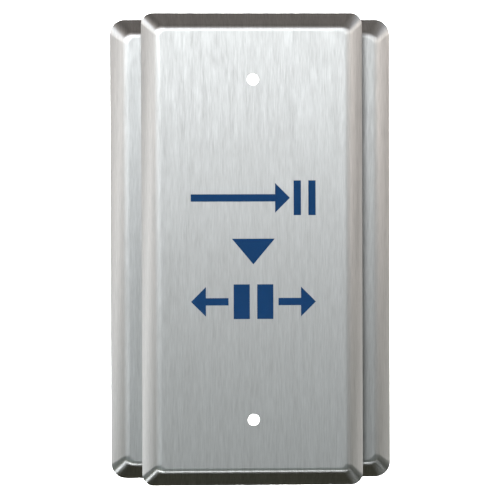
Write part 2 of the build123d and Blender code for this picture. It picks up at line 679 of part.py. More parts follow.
# ---------------------------------------------------------------- motion that follows
def lever_motion():
    """The lever's turn over the plate's travel, in radians, and its drop over the plunger."""
    along, rise = ROLLER_Y - LEVER_PIVOT_Y, roller_z - pivot_z
    length = hypot(along, rise)
    turn = atan2(rise, along) - asin((rise - TRAVEL) / length)
    arm = PLUNGER_Y - LEVER_PIVOT_Y
    lift = lever_under_z() - pivot_z
    reach, start = hypot(arm, lift), atan2(lift, arm)
    after = pivot_z + reach * sin(start - turn)
    return turn, lever_under_z() - after


def stand_up(shape):
    """From lying on its back to the part's frame."""
    return Rot(90, 0, 0) * shape


def write(node, shape):
    solids = shape if isinstance(shape, list) else [shape]
    pieces = [stand_up(s) for solid in solids for s in solid.solids()]
    export_step(pieces[0] if len(pieces) == 1 else Compound(pieces), f"parts/{node}.step")


def main():
    os.makedirs("parts", exist_ok=True)
    marks = symbol_marks()
    write("back_plate", back_plate())
    write("push_plate", push_plate(marks))
    write("symbol_infill", symbol_infill(marks))

    for place, (x, y) in STUD_PLACES.items():
        write(f"guide_stud_{place}", Pos(x, y) * guide_stud())
        write(f"guide_bush_{place}", Pos(x, y) * guide_bush())
        write(f"return_spring_{place}", Pos(x, y) * return_spring())
    for place, (x, y) in BUMPER_PLACES.items():
        write(f"travel_bumper_{place}", Pos(x, y) * travel_bumper())
    lock_nut, nut_insert = lock_nut_parts()
    places = list(STUD_PLACES.values())
    write("stud_washers", at_each(places, stud_washer(), 0))
    write("stud_lock_nuts", at_each(places, lock_nut, 0))
    write("lock_nut_inserts", at_each(places, nut_insert, 0))

    write("switch_bracket", switch_bracket())
    bracket_nut_z = back_rear_z - BRACKET_T - NUT_H
    nut = hex_nut(NUT_H, SCREW_D + 2 * THREAD_CLEARANCE)
    bracket_screw = pan_screw(BRACKET_SCREW_L, SCREW_D)
    write("bracket_screws", at_each(BRACKET_SCREW_PLACES, bracket_screw, back_face_z))
    write("bracket_nuts", at_each(BRACKET_SCREW_PLACES, nut, bracket_nut_z))
    screw = Rot(0, 90, 0) * pan_screw(SWITCH_SCREW_L, SWITCH_SCREW_D)
    side_nut = Rot(0, 90, 0) * nut
    write("switch_screws", [Pos(SWITCH_T / 2, y, z) * screw for y, z in SWITCH_SCREW_PLACES])
    write("switch_nuts", [Pos(bracket_x - NUT_H, y, z) * side_nut for y, z in SWITCH_SCREW_PLACES])

    write("switch_case", switch_case())
    write("switch_cover", switch_cover())
    write("lever_pivot_pin", lever_pivot_pin())
    write("switch_lever", switch_lever())
    write("roller_pin", roller_pin())
    write("lever_roller", lever_roller())
    write("switch_plunger", switch_plunger())

    turn, plunger_travel = lever_motion()
    blade_z = switch_top_z - BLADE_DEPTH
    blade_turn = plunger_travel / (BLADE_PIVOT_Y - PLUNGER_Y)
    contact_travel = blade_turn * (BLADE_PIVOT_Y - CONTACT_Y)
    reach = BLADE_T / 2 + CONTACT_H + CONTACT_GAP
    closed_shelf_low = blade_z + reach + CONTACT_H
    open_shelf_top = blade_z - reach - contact_travel - CONTACT_H
    write("contact_blade", contact_blade(blade_z))
    write("moving_contact", moving_contact(blade_z))
    write("terminal_common", terminal_common(blade_z))
    write("terminal_normally_open", terminal_open(open_shelf_top))
    write("terminal_normally_closed", terminal_closed(closed_shelf_low))
    write(
        "fixed_contacts",
        [
            rod(CONTACT_D, closed_shelf_low - CONTACT_H, closed_shelf_low, 0, CONTACT_Y),
            rod(CONTACT_D, open_shelf_top, open_shelf_top + CONTACT_H, 0, CONTACT_Y),
        ],
    )
    for joint, ratio in (
        ("lever, rad/m", turn / TRAVEL * 1000),
        ("plunger, m/m", plunger_travel / TRAVEL),
        ("blade, rad/m", blade_turn / TRAVEL * 1000),
    ):
        print(f"ratio to the push plate: {joint} {ratio:.5f}")


main()
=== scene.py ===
import json
from math import cos, pi, radians, sin, tan

import bmesh
import bpy
from mathutils import Matrix, Vector


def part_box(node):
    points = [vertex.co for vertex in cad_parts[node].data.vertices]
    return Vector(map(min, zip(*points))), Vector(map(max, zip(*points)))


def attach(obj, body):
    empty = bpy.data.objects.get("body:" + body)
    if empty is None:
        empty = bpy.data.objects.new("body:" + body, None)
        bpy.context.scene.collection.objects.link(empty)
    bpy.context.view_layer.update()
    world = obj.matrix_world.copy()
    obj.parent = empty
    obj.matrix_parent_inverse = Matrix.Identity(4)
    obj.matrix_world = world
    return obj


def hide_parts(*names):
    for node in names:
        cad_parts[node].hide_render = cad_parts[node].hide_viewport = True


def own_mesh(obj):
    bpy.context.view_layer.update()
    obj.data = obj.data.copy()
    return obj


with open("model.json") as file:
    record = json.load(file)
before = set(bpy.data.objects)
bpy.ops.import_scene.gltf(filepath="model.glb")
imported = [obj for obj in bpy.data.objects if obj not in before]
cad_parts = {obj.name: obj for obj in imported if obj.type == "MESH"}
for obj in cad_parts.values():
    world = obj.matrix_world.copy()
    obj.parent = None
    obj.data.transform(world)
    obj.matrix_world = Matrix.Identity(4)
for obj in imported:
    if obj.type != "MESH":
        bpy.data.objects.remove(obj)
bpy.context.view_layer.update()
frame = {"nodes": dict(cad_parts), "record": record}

MM = 0.001

# ----------------------------------------------------------
# Back plate: the wider of two trays pressed from 1 mm stainless sheet. The sheet is brushed along
# its length before it is pressed, so the grain runs on over the bends. Its rim lies on the wall,
# two slots take the screws of a one-gang box, and a window lets the switch's lever through.
# ----------------------------------------------------------
BACK_GAUGE = 1.0 * MM
BACK_RIM_R, BACK_FACE_R = 3.8 * MM, 2.8 * MM
BOX_SLOT_R = 2.2 * MM
BUSH_HOLE_R = 2.5 * MM
STEM_HOLE_R = 1.5 * MM
SCREW_HOLE_R = 1.7 * MM
FITTED_EDGE = 0.01 * MM  # of a hole that something is pressed into
WINDOW_MARGIN = 0.5 * MM  # round the switch
FLANGE_SLOPE = radians(60)  # between a flange and the face
BEND_R = 2.0 * MM  # outside radius of a pressed bend
BEND_STEPS = 10
EDGE_BREAK = 0.12 * MM  # a sheared edge after tumbling
WELD = 0.001 * MM  # points closer than this are one point


def add(tree, kind, inputs=None, **settings):
    """Adds a node with its settings; each input is a value, or a node or socket to link."""
    node = tree.nodes.new(kind)
    for key, value in settings.items():
        setattr(node, key, value)
    for key, value in (inputs or {}).items():
        if isinstance(value, bpy.types.Node):
            value = next(socket for socket in value.outputs if socket.enabled)
        if isinstance(value, bpy.types.NodeSocket):
            tree.links.new(value, node.inputs[key])
        else:
            node.inputs[key].default_value = value
    return node


def new_tree(name, sizes):
    """A Geometry Nodes tree with geometry in and out, and named inputs as {name: socket kind}."""
    tree = bpy.data.node_groups.new(name, "GeometryNodeTree")
    tree.interface.new_socket("Geometry", in_out="INPUT", socket_type="NodeSocketGeometry")
    tree.interface.new_socket("Geometry", in_out="OUTPUT", socket_type="NodeSocketGeometry")
    for label, kind in {**sizes, "Material": "Material"}.items():
        tree.interface.new_socket(label, in_out="INPUT", socket_type=f"NodeSocket{kind}")
    return tree, tree.nodes.new("NodeGroupInput").outputs


def end_tree(tree, geometry, material):
    """Realizes what the tree made, gives it its material and hands it out."""
    real = add(tree, "GeometryNodeRealizeInstances", {0: geometry})
    painted = add(tree, "GeometryNodeSetMaterial", {0: real, "Material": material})
    add(tree, "NodeGroupOutput", {0: painted})
    return tree


def grow(obj, tree, **sizes):
    """Runs a tree on an object, with its named inputs set."""
    modifier = obj.modifiers.new(tree.name, "NODES")
    modifier.node_group = tree
    for item in tree.interface.items_tree:
        key = item.name.lower().replace(" ", "_")
        if item.in_out == "INPUT" and key in sizes:
            modifier[item.identifier] = sizes[key]
    return obj


def settle(obj, matrix=None):
    """Turns an object and its modifiers into a plain mesh, moved by a matrix."""
    depsgraph = bpy.context.evaluated_depsgraph_get()
    mesh = bpy.data.meshes.new_from_object(
        obj.evaluated_get(depsgraph), preserve_all_data_layers=True, depsgraph=depsgraph)
    obj.modifiers.clear()
    obj.data = mesh
    painted = [material for material in mesh.materials if material]
    if len(painted) == 1:
        mesh.materials.clear()
        mesh.materials.append(painted[0])
        mesh.polygons.foreach_set("material_index", [0] * len(mesh.polygons))
    mesh.name = obj.name
    if matrix is not None:
        mesh.transform(matrix)
    return obj


def mesh_object(name, points, edges=(), faces=()):
    mesh = bpy.data.meshes.new(name)
    mesh.from_pydata([tuple(p) for p in points], edges, faces)
    obj = bpy.data.objects.new(name, mesh)
    bpy.context.scene.collection.objects.link(obj)
    return obj


def join(name, *parts):
    """One object from several settled ones, which are removed."""
    bm = bmesh.new()
    for part in parts:
        bm.from_mesh(part.data)
    obj = mesh_object(name, [])
    bm.to_mesh(obj.data)
    bm.free()
    for material in parts[0].data.materials:
        obj.data.materials.append(material)
    for part in parts:
        bpy.data.objects.remove(part)
    return obj


def rolled_grid(tree, rows, around):
    """A flat grid to roll up, and the row and column of each of its points."""
    grid = add(tree, "GeometryNodeMeshGrid", {"Vertices X": rows, "Vertices Y": around})
    index = add(tree, "GeometryNodeInputIndex")
    row = add(tree, "FunctionNodeIntegerMath", {0: index, 1: around}, operation="DIVIDE")
    column = add(tree, "FunctionNodeIntegerMath", {0: index, 1: around}, operation="MODULO")
    return grid.outputs["Mesh"], row, column


def carried_round():
    """Tree that carries a section round a rounded rectangle in the X-Z plane.

    The incoming vertices are the section: X is the inset from the outline, Y the corner's radius
    there and Z the height, which becomes -Y. Their attribute flat holds the inset and radius of the
    same point on the sheet before pressing, and gives the UV map named sheet, in metres.
    """
    tree, given = new_tree("carried_round", {
        "Width": "Float", "Height": "Float", "Corner Steps": "Int"})
    section = given["Geometry"]
    stations = add(tree, "GeometryNodeAttributeDomainSize", {0: section})
    corner = add(tree, "FunctionNodeIntegerMath", {0: given["Corner Steps"], 1: 1}, operation="ADD")
    around = add(tree, "FunctionNodeIntegerMath", {0: corner, 1: 4, 2: 1}, operation="MULTIPLY_ADD")
    grid, station, column = rolled_grid(tree, stations.outputs["Point Count"], around)
    quarter = add(tree, "FunctionNodeIntegerMath", {0: column, 1: corner}, operation="DIVIDE")
    within = add(tree, "FunctionNodeIntegerMath", {0: column, 1: corner}, operation="MODULO")
    part = add(tree, "ShaderNodeMath", {0: within, 1: given["Corner Steps"]}, operation="DIVIDE")
    turns = add(tree, "ShaderNodeMath", {0: quarter, 1: part}, operation="ADD")
    angle = add(tree, "ShaderNodeMath", {0: turns, 1: pi / 2}, operation="MULTIPLY")
    spoke = add(tree, "ShaderNodeVectorRotate", {
        "Vector": (1, 0, 0), "Angle": angle}, rotation_type="Z_AXIS")
    eighth = add(tree, "ShaderNodeMath", {0: quarter, 1: pi / 2, 2: pi / 4}, operation="MULTIPLY_ADD")
    diagonal = add(tree, "ShaderNodeVectorRotate", {
        "Vector": (1, 0, 0), "Angle": eighth}, rotation_type="Z_AXIS")
    side = add(tree, "ShaderNodeVectorMath", {0: diagonal}, operation="SIGN")
    size = add(tree, "ShaderNodeCombineXYZ", {"X": given["Width"], "Y": given["Height"]})
    half = add(tree, "ShaderNodeVectorMath", {0: size, "Scale": 0.5}, operation="SCALE")
    plans = []
    for attribute in (
        add(tree, "GeometryNodeInputPosition"),
        add(tree, "GeometryNodeInputNamedAttribute", {"Name": "flat"}, data_type="FLOAT_VECTOR"),
    ):
        sample = add(tree, "GeometryNodeSampleIndex", {
            "Geometry": section, "Value": attribute, "Index": station}, data_type="FLOAT_VECTOR")
        point = add(tree, "ShaderNodeSeparateXYZ", {0: sample})
        reach = add(tree, "ShaderNodeMath", {0: point.outputs["X"], 1: point.outputs["Y"]}, operation="ADD")
        centre = add(tree, "ShaderNodeVectorMath", {0: half, 1: reach}, operation="SUBTRACT")
        arc = add(tree, "ShaderNodeVectorMath", {0: spoke, "Scale": point.outputs["Y"]}, operation="SCALE")
        plan = add(tree, "ShaderNodeVectorMath", {0: side, 1: centre, 2: arc}, operation="MULTIPLY_ADD")
        plans.append((add(tree, "ShaderNodeSeparateXYZ", {0: plan}), point.outputs["Z"], plan))
    (place, height, _), (_, _, sheet) = plans
    front = add(tree, "ShaderNodeMath", {0: height, 1: -1}, operation="MULTIPLY")
    position = add(tree, "ShaderNodeCombineXYZ", {
        "X": place.outputs["X"], "Y": front, "Z": place.outputs["Y"]})
    noted = add(tree, "GeometryNodeStoreNamedAttribute", {
        "Geometry": grid, "Name": "sheet_point", "Value": sheet}, data_type="FLOAT_VECTOR")
    skin = add(tree, "GeometryNodeSetPosition", {"Geometry": noted, "Position": position})
    point_uv = add(tree, "GeometryNodeInputNamedAttribute", {"Name": "sheet_point"}, data_type="FLOAT_VECTOR")
    mapped = add(tree, "GeometryNodeStoreNamedAttribute", {
        "Geometry": skin, "Name": "sheet", "Value": point_uv}, data_type="FLOAT2", domain="CORNER")
    whole = add(tree, "GeometryNodeMergeByDistance", {0: mapped, "Distance": WELD})
    smooth = add(tree, "GeometryNodeSetShadeSmooth", {0: whole})
    return end_tree(tree, smooth, given["Material"])


carried_round_tree = carried_round()


def carried(name, width, height, section, material=None, flat=None, corner_steps=14):
    """An object made by carrying a section of (inset, corner radius, height) round a rectangle."""
    obj = mesh_object(name, section, [(i, i + 1) for i in range(len(section) - 1)])
    attribute = obj.data.attributes.new("flat", "FLOAT_VECTOR", "POINT")
    for i, point in enumerate(flat or section):
        attribute.data[i].vector = point
    return grow(obj, carried_round_tree, width=width, height=height, corner_steps=corner_steps,
                material=material)


def sheet_side(middle, inset, high, rim_r, face_r, bend):
    """One side of a pressed sheet, from the face's middle to the rim, as (point, flat point) pairs.

    A flat point has the same corner centre as its point, so the grain keeps straight down a flange.
    """
    reach = bend * tan(FLANGE_SLOPE / 2)
    edge = inset + high / tan(FLANGE_SLOPE) + reach
    edge_r = face_r - reach
    drop = bend * (1 - cos(FLANGE_SLOPE))
    low_r = rim_r + (face_r - rim_r) * (high - drop) / high
    stations = [(middle, 0, high, middle), (edge, edge_r, high, edge)]
    for i in range(1, BEND_STEPS + 1):
        turn = FLANGE_SLOPE * i / BEND_STEPS
        radius = edge_r + (low_r - edge_r) * sin(turn) / sin(FLANGE_SLOPE)
        stations.append((edge - bend * sin(turn), radius, high - bend * (1 - cos(turn)), edge - bend * turn))
    rise, back = EDGE_BREAK * sin(FLANGE_SLOPE), EDGE_BREAK * cos(FLANGE_SLOPE)
    flat_rim = edge - bend * FLANGE_SLOPE - (high - drop) / sin(FLANGE_SLOPE)
    stations.append((inset + back, rim_r - back, rise, flat_rim))
    rows = [((x, r, z), (flat, x + r - flat, 0)) for x, r, z, flat in stations]
    return rows, rows[-1][1]


def pressed_tray(name, box, gauge, rim_r, face_r, material):
    """A tray pressed from sheet, its rim at the back of the box and its face at the front."""
    low, high = box
    width, depth, height = high - low
    lean = gauge / sin(FLANGE_SLOPE)
    outer, outer_flat = sheet_side(width / 2, 0, depth, rim_r, face_r, BEND_R)
    inner, inner_flat = sheet_side(
        width / 2, lean, depth - gauge, rim_r - lean, face_r - lean, BEND_R - gauge)
    rim = [((EDGE_BREAK, rim_r - EDGE_BREAK, 0), outer_flat),
           ((lean - EDGE_BREAK, rim_r - lean + EDGE_BREAK, 0), inner_flat)]
    rows = outer + rim + inner[::-1]
    section, flat = [point for point, _ in rows], [point for _, point in rows]
    obj = carried(name, width, height, section, material, flat)
    return settle(obj, Matrix.Translation((0, high.y, 0)))


def punch(x, z, width, height, corner_r, front, back, chamfer=0.08 * MM):
    """A closed block along Y, to be cut out of sheet, flared where a punched edge is rounded."""
    beyond = 1.0 * MM
    middle = min(width, height) / 2
    flare = (-chamfer, corner_r + chamfer)
    section = [(middle, 0, beyond - front), (*flare, beyond - front), (*flare, -front)]
    section += [(0, corner_r, -front - chamfer), (0, corner_r, -back + chamfer)]
    section += [(*flare, -back), (*flare, -back - beyond), (middle, 0, -back - beyond)]
    obj = carried("punch", width, height, section, corner_steps=8)
    return settle(obj, Matrix.Translation((x, 0, z)))


def round_hole(x, z, radius, ys, **edge):
    return punch(x, z, 2 * radius, 2 * radius, radius, *ys, **edge)


def cut(obj, *tools):
    """Takes the tools' shapes out of an object and smooths its shading up to its sharp edges."""
    tool = join("tool", *tools)
    boolean = obj.modifiers.new("cut", "BOOLEAN")
    boolean.object, boolean.solver = tool, "EXACT"
    settle(obj)
    bpy.data.objects.remove(tool)
    return obj


def shade(obj, sharp=radians(28)):
    """Smooth shading that keeps large flats flat and edges crisp."""
    obj.data.shade_smooth()
    obj.data.set_sharp_from_angle(angle=sharp)
    weighted = obj.modifiers.new("flats", "WEIGHTED_NORMAL")
    weighted.keep_sharp, weighted.weight = True, 100
    return settle(obj)


def middle(box):
    return (box[0] + box[1]) / 2


def half_width(box):
    return (box[1].x - box[0].x) / 2


def heights(box):
    """How far a box's front and back stand in front of the wall."""
    return -box[0].y, -box[1].y


def cad_mesh(node):
    """A copy of a CAD node's mesh, with its doubled points made one."""
    bm = bmesh.new()
    bm.from_mesh(frame["nodes"][node].data)
    bmesh.ops.remove_doubles(bm, verts=bm.verts, dist=WELD)
    return bm


def solids(node):
    """The (lowest, highest) corners of each separate solid of a CAD node, from left to right."""
    bm = cad_mesh(node)
    left, found = set(bm.verts), []
    while left:
        island, front = set(), [left.pop()]
        while front:
            vert = front.pop()
            island.add(vert)
            near = {edge.other_vert(vert) for edge in vert.link_edges} & left
            left -= near
            front += near
        points = [vert.co.copy() for vert in island]
        found.append(tuple(Vector(pick(p[i] for p in points) for i in range(3)) for pick in (min, max)))
    bm.free()
    return sorted(found, key=lambda box: tuple(round(value, 6) for value in middle(box)))


def linear(code):
    """A colour's linear values from its sRGB hex code."""
    channels = [int(code[i:i + 2], 16) / 255 for i in (1, 3, 5)]
    return [c / 12.92 if c <= 0.04045 else ((c + 0.055) / 1.055) ** 2.4 for c in channels] + [1]


def new_material(name, **sockets):
    """A material with one Principled shader, and the shader, with its own sockets set."""
    material = bpy.data.materials.new(name)
    material.use_nodes = True
    shader = material.node_tree.nodes["Principled BSDF"]
    for label, value in sockets.items():
        shader.inputs[label.replace("_", " ").title().replace("Ior", "IOR")].default_value = value
    return material, material.node_tree, shader


def paint(tree, shader, sources):
    """Links nodes to the shader's sockets."""
    for label, node in sources.items():
        tree.links.new(next(socket for socket in node.outputs if socket.enabled), shader.inputs[label])


def brushed_stainless(name, dark, light, smoother, rougher):
    """304 stainless brushed with a 180 grit belt: long fine lines that scatter light sideways.

    Real lines are under 0.1 mm apart; they are drawn coarser, so that they show at arm's length.
    """
    material, tree, shader = new_material(name, metallic=1.0, anisotropic=1.0)
    sheet = add(tree, "ShaderNodeUVMap", uv_map="sheet")
    fine_across, fine_along = 0.3 * MM, 4.5 * MM
    broad_across, broad_along = 1.3 * MM, 22 * MM
    fine_at = add(tree, "ShaderNodeMapping", {
        "Vector": sheet, "Scale": (1 / fine_across, 1 / fine_along, 1)})
    fine = add(tree, "ShaderNodeTexNoise", {"Vector": fine_at, "Scale": 1, "Detail": 3, "Roughness": 0.65})
    broad_at = add(tree, "ShaderNodeMapping", {
        "Vector": sheet, "Scale": (1 / broad_across, 1 / broad_along, 1)})
    broad = add(tree, "ShaderNodeTexNoise", {"Vector": broad_at, "Scale": 1, "Detail": 2})
    both = add(tree, "ShaderNodeMix", {
        0: 0.3, "A": fine.outputs[0], "B": broad.outputs[0]}, data_type="FLOAT")
    tone = add(tree, "ShaderNodeValToRGB", {0: both})
    tone.color_ramp.elements[0].position, tone.color_ramp.elements[1].position = 0.3, 0.7
    tone.color_ramp.elements[0].color, tone.color_ramp.elements[1].color = linear(dark), linear(light)
    rough = add(tree, "ShaderNodeMapRange", {0: both, 1: 0.3, 2: 0.7, 3: rougher, 4: smoother})
    bump = add(tree, "ShaderNodeBump", {"Strength": 0.35, "Distance": 0.004 * MM, "Height": fine.outputs[0]})
    across = add(tree, "ShaderNodeTangent", direction_type="UV_MAP", uv_map="sheet")
    paint(tree, shader, {"Base Color": tone, "Roughness": rough, "Normal": bump, "Tangent": across})
    return material


plate_steel = brushed_stainless("brushed_304_sheet", "#B3B4B4", "#CBCCCC", 0.32, 0.46)
back_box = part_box("back_plate")
back_face_y = back_box[0].y
back_plate = pressed_tray("back_plate_brushed", back_box, BACK_GAUGE, BACK_RIM_R, BACK_FACE_R, plate_steel)
sheet_ys = (back_face_y, back_face_y + BACK_GAUGE)
box_screws = next(m for m in frame["record"]["mounts"] if m["name"] == "box_screws")
slot_z = box_screws["dims"]["spacing_y_mm"] * MM / 2
slot_length = box_screws["dims"]["slot_length_mm"] * MM


def four(kind):
    """The names of the four pieces of a kind that stand round the plate's middle."""
    return [f"{kind}_{end}_{side}" for end in ("upper", "lower") for side in ("left", "right")]


punches = []
for z in (slot_z, -slot_z):
    punches.append(punch(0, z, 2 * BOX_SLOT_R, slot_length, BOX_SLOT_R, *sheet_ys))
for bush, bumper in zip(four("guide_bush"), four("travel_bumper")):
    for node, radius in ((bush, BUSH_HOLE_R), (bumper, STEM_HOLE_R)):
        at = middle(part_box(node))
        punches.append(round_hole(at.x, at.z, radius, sheet_ys, chamfer=FITTED_EDGE))
for box in solids("bracket_screws"):
    at = middle(box)
    punches.append(round_hole(at.x, at.z, SCREW_HOLE_R, sheet_ys))
case_box, cover_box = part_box("switch_case"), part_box("switch_cover")
window_w = cover_box[1].x - case_box[0].x + 2 * WINDOW_MARGIN
window_h = case_box[1].z - case_box[0].z + 2 * WINDOW_MARGIN
punches.append(punch(0, 0, window_w, window_h, WINDOW_MARGIN, *sheet_ys))
shade(cut(back_plate, *punches))
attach(back_plate, "back")
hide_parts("back_plate")

# ----------------------------------------------------------
# Push plate: the narrower, taller tray that people press, pressed from 1.2 mm sheet with the same
# brushed grain. It has two small holes for a hex key, and symbols etched 0.2 mm deep in its face.
# ----------------------------------------------------------
PUSH_GAUGE = 1.2 * MM
PUSH_RIM_R, PUSH_FACE_R = 2.9 * MM, 2.3 * MM
KEY_HOLE_R, KEY_HOLE_EDGE = 1.45 * MM, 0.03 * MM
ETCH_DEPTH = 0.2 * MM

push_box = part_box("push_plate")
push_face_y = push_box[0].y
push_plate = pressed_tray("push_plate_brushed", push_box, PUSH_GAUGE, PUSH_RIM_R, PUSH_FACE_R, plate_steel)


def mark_outlines(node):
    """The outline of each solid of a flat CAD node, from its front faces, in the X-Z plane."""
    bm = cad_mesh(node)
    bmesh.ops.delete(bm, geom=[f for f in bm.faces if f.normal.y > -0.5], context="FACES")
    bmesh.ops.dissolve_limit(bm, angle_limit=radians(1), verts=bm.verts, edges=bm.edges)
    outlines = [[(v.co.x, v.co.z) for v in f.verts] for f in bm.faces]
    bm.free()
    return outlines


def outward(obj):
    """Turns an object's faces outward."""
    bm = bmesh.new()
    bm.from_mesh(obj.data)
    bmesh.ops.recalc_face_normals(bm, faces=bm.faces)
    bm.to_mesh(obj.data)
    bm.free()
    return obj


def prism(name, outline, front, back):
    """A closed block with the given outline between two depths."""
    count = len(outline)
    points = [(x, y, z) for y in (front, back) for x, z in outline]
    sides = [(i, i + count, (i + 1) % count + count, (i + 1) % count) for i in range(count)]
    faces = [tuple(range(count)), tuple(reversed(range(count, 2 * count)))] + sides
    obj = mesh_object(name, points, (), faces)
    obj.data.uv_layers.new(name="sheet")
    return outward(obj)


push_ys = (push_face_y, push_face_y + PUSH_GAUGE)
punches = [round_hole(0, z, KEY_HOLE_R, push_ys, chamfer=KEY_HOLE_EDGE) for z in (slot_z, -slot_z)]
outlines = mark_outlines("symbol_infill")
punches += [prism("etch", o, push_face_y - 1 * MM, push_face_y + ETCH_DEPTH) for o in outlines]
shade(cut(push_plate, *punches))
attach(push_plate, "push")
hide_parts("push_plate")

# ----------------------------------------------------------
# Symbol infill: blue two-part enamel wiped into the etched symbols and baked. It shrinks a little
# as it cures, so it lies just under the face. Its surface dips from its edges; here it is drawn flat.
# ----------------------------------------------------------
INFILL_SHORT = 0.02 * MM


def baked_enamel():
    """Opaque blue enamel: satin, with a faint orange peel from curing."""
    material, tree, shader = new_material("baked_blue_enamel", roughness=0.5, specular_ior_level=0.1)
    point = add(tree, "ShaderNodeTexCoord").outputs["Object"]
    cloud = add(tree, "ShaderNodeTexNoise", {"Vector": point, "Scale": 1 / (0.6 * MM), "Detail": 3})
    tone = add(tree, "ShaderNodeValToRGB", {0: cloud.outputs[0]})
    tone.color_ramp.elements[0].color = linear("#012A4E")
    tone.color_ramp.elements[1].color = linear("#022E57")
    peel = add(tree, "ShaderNodeTexNoise", {"Vector": point, "Scale": 1 / (0.25 * MM), "Detail": 2})
    bump = add(tree, "ShaderNodeBump", {"Strength": 0.3, "Distance": 0.003 * MM, "Height": peel.outputs[0]})
    paint(tree, shader, {"Base Color": tone, "Normal": bump})
    return material


infill = join("symbol_infill_enamel", *[
    prism("mark", o, push_face_y + INFILL_SHORT, push_face_y + ETCH_DEPTH) for o in outlines])
infill.data.materials.append(baked_enamel())
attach(infill, "push")
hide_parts("symbol_infill")

# ----------------------------------------------------------
# Guide studs: four M3 stainless studs, capacitor-discharge welded to the back of the push plate by
# their feet. Plain where they slide in the bushes, thread-rolled below for the washer and nut.
# ----------------------------------------------------------
STUD_R = 1.5 * MM
STUD_FOOT_R, STUD_FOOT_T = 2.5 * MM, 0.7 * MM
THREAD_PITCH, THREAD_DEPTH = 0.5 * MM, 0.28 * MM
THREAD_POINT = 0.4 * MM


def turned_section():
    """Tree that turns a section round the Y axis: its vertices are (radius, height), height to -Y.

    Radii are held within Across Flats, so that a hexagon's flats cut the section where it is wider.
    """
    tree, given = new_tree("turned_section", {"Steps": "Int", "Across Flats": "Float"})
    section = given["Geometry"]
    stations = add(tree, "GeometryNodeAttributeDomainSize", {0: section})
    around = add(tree, "FunctionNodeIntegerMath", {0: given["Steps"], 1: 1}, operation="ADD")
    grid, station, column = rolled_grid(tree, stations.outputs["Point Count"], around)
    part = add(tree, "ShaderNodeMath", {0: column, 1: given["Steps"]}, operation="DIVIDE")
    angle = add(tree, "ShaderNodeMath", {0: part, 1: 2 * pi}, operation="MULTIPLY")
    sample = add(tree, "GeometryNodeSampleIndex", {
        "Geometry": section, "Value": add(tree, "GeometryNodeInputPosition"), "Index": station,
    }, data_type="FLOAT_VECTOR")
    point = add(tree, "ShaderNodeSeparateXYZ", {0: sample})
    ahead = add(tree, "ShaderNodeMath", {0: angle, 1: pi / 6}, operation="ADD")
    sixth = add(tree, "ShaderNodeMath", {0: ahead, 1: pi / 3}, operation="FLOORED_MODULO")
    lean = add(tree, "ShaderNodeMath", {0: sixth, 1: pi / 6}, operation="SUBTRACT")
    closeness = add(tree, "ShaderNodeMath", {0: lean}, operation="COSINE")
    flat = add(tree, "ShaderNodeMath", {0: given["Across Flats"], 1: 2}, operation="DIVIDE")
    reach = add(tree, "ShaderNodeMath", {0: flat, 1: closeness}, operation="DIVIDE")
    radius = add(tree, "ShaderNodeMath", {0: point.outputs["X"], 1: reach}, operation="MINIMUM")
    spoke = add(tree, "ShaderNodeCombineXYZ", {"X": radius})
    swung = add(tree, "ShaderNodeVectorRotate", {"Vector": spoke, "Angle": angle}, rotation_type="Y_AXIS")
    down = add(tree, "ShaderNodeMath", {0: point.outputs["Y"], 1: -1}, operation="MULTIPLY")
    rise = add(tree, "ShaderNodeCombineXYZ", {"Y": down})
    position = add(tree, "ShaderNodeVectorMath", {0: swung, 1: rise}, operation="ADD")
    skin = add(tree, "GeometryNodeSetPosition", {"Geometry": grid, "Position": position})
    whole = add(tree, "GeometryNodeMergeByDistance", {0: skin, "Distance": WELD})
    return end_tree(tree, whole, given["Material"])


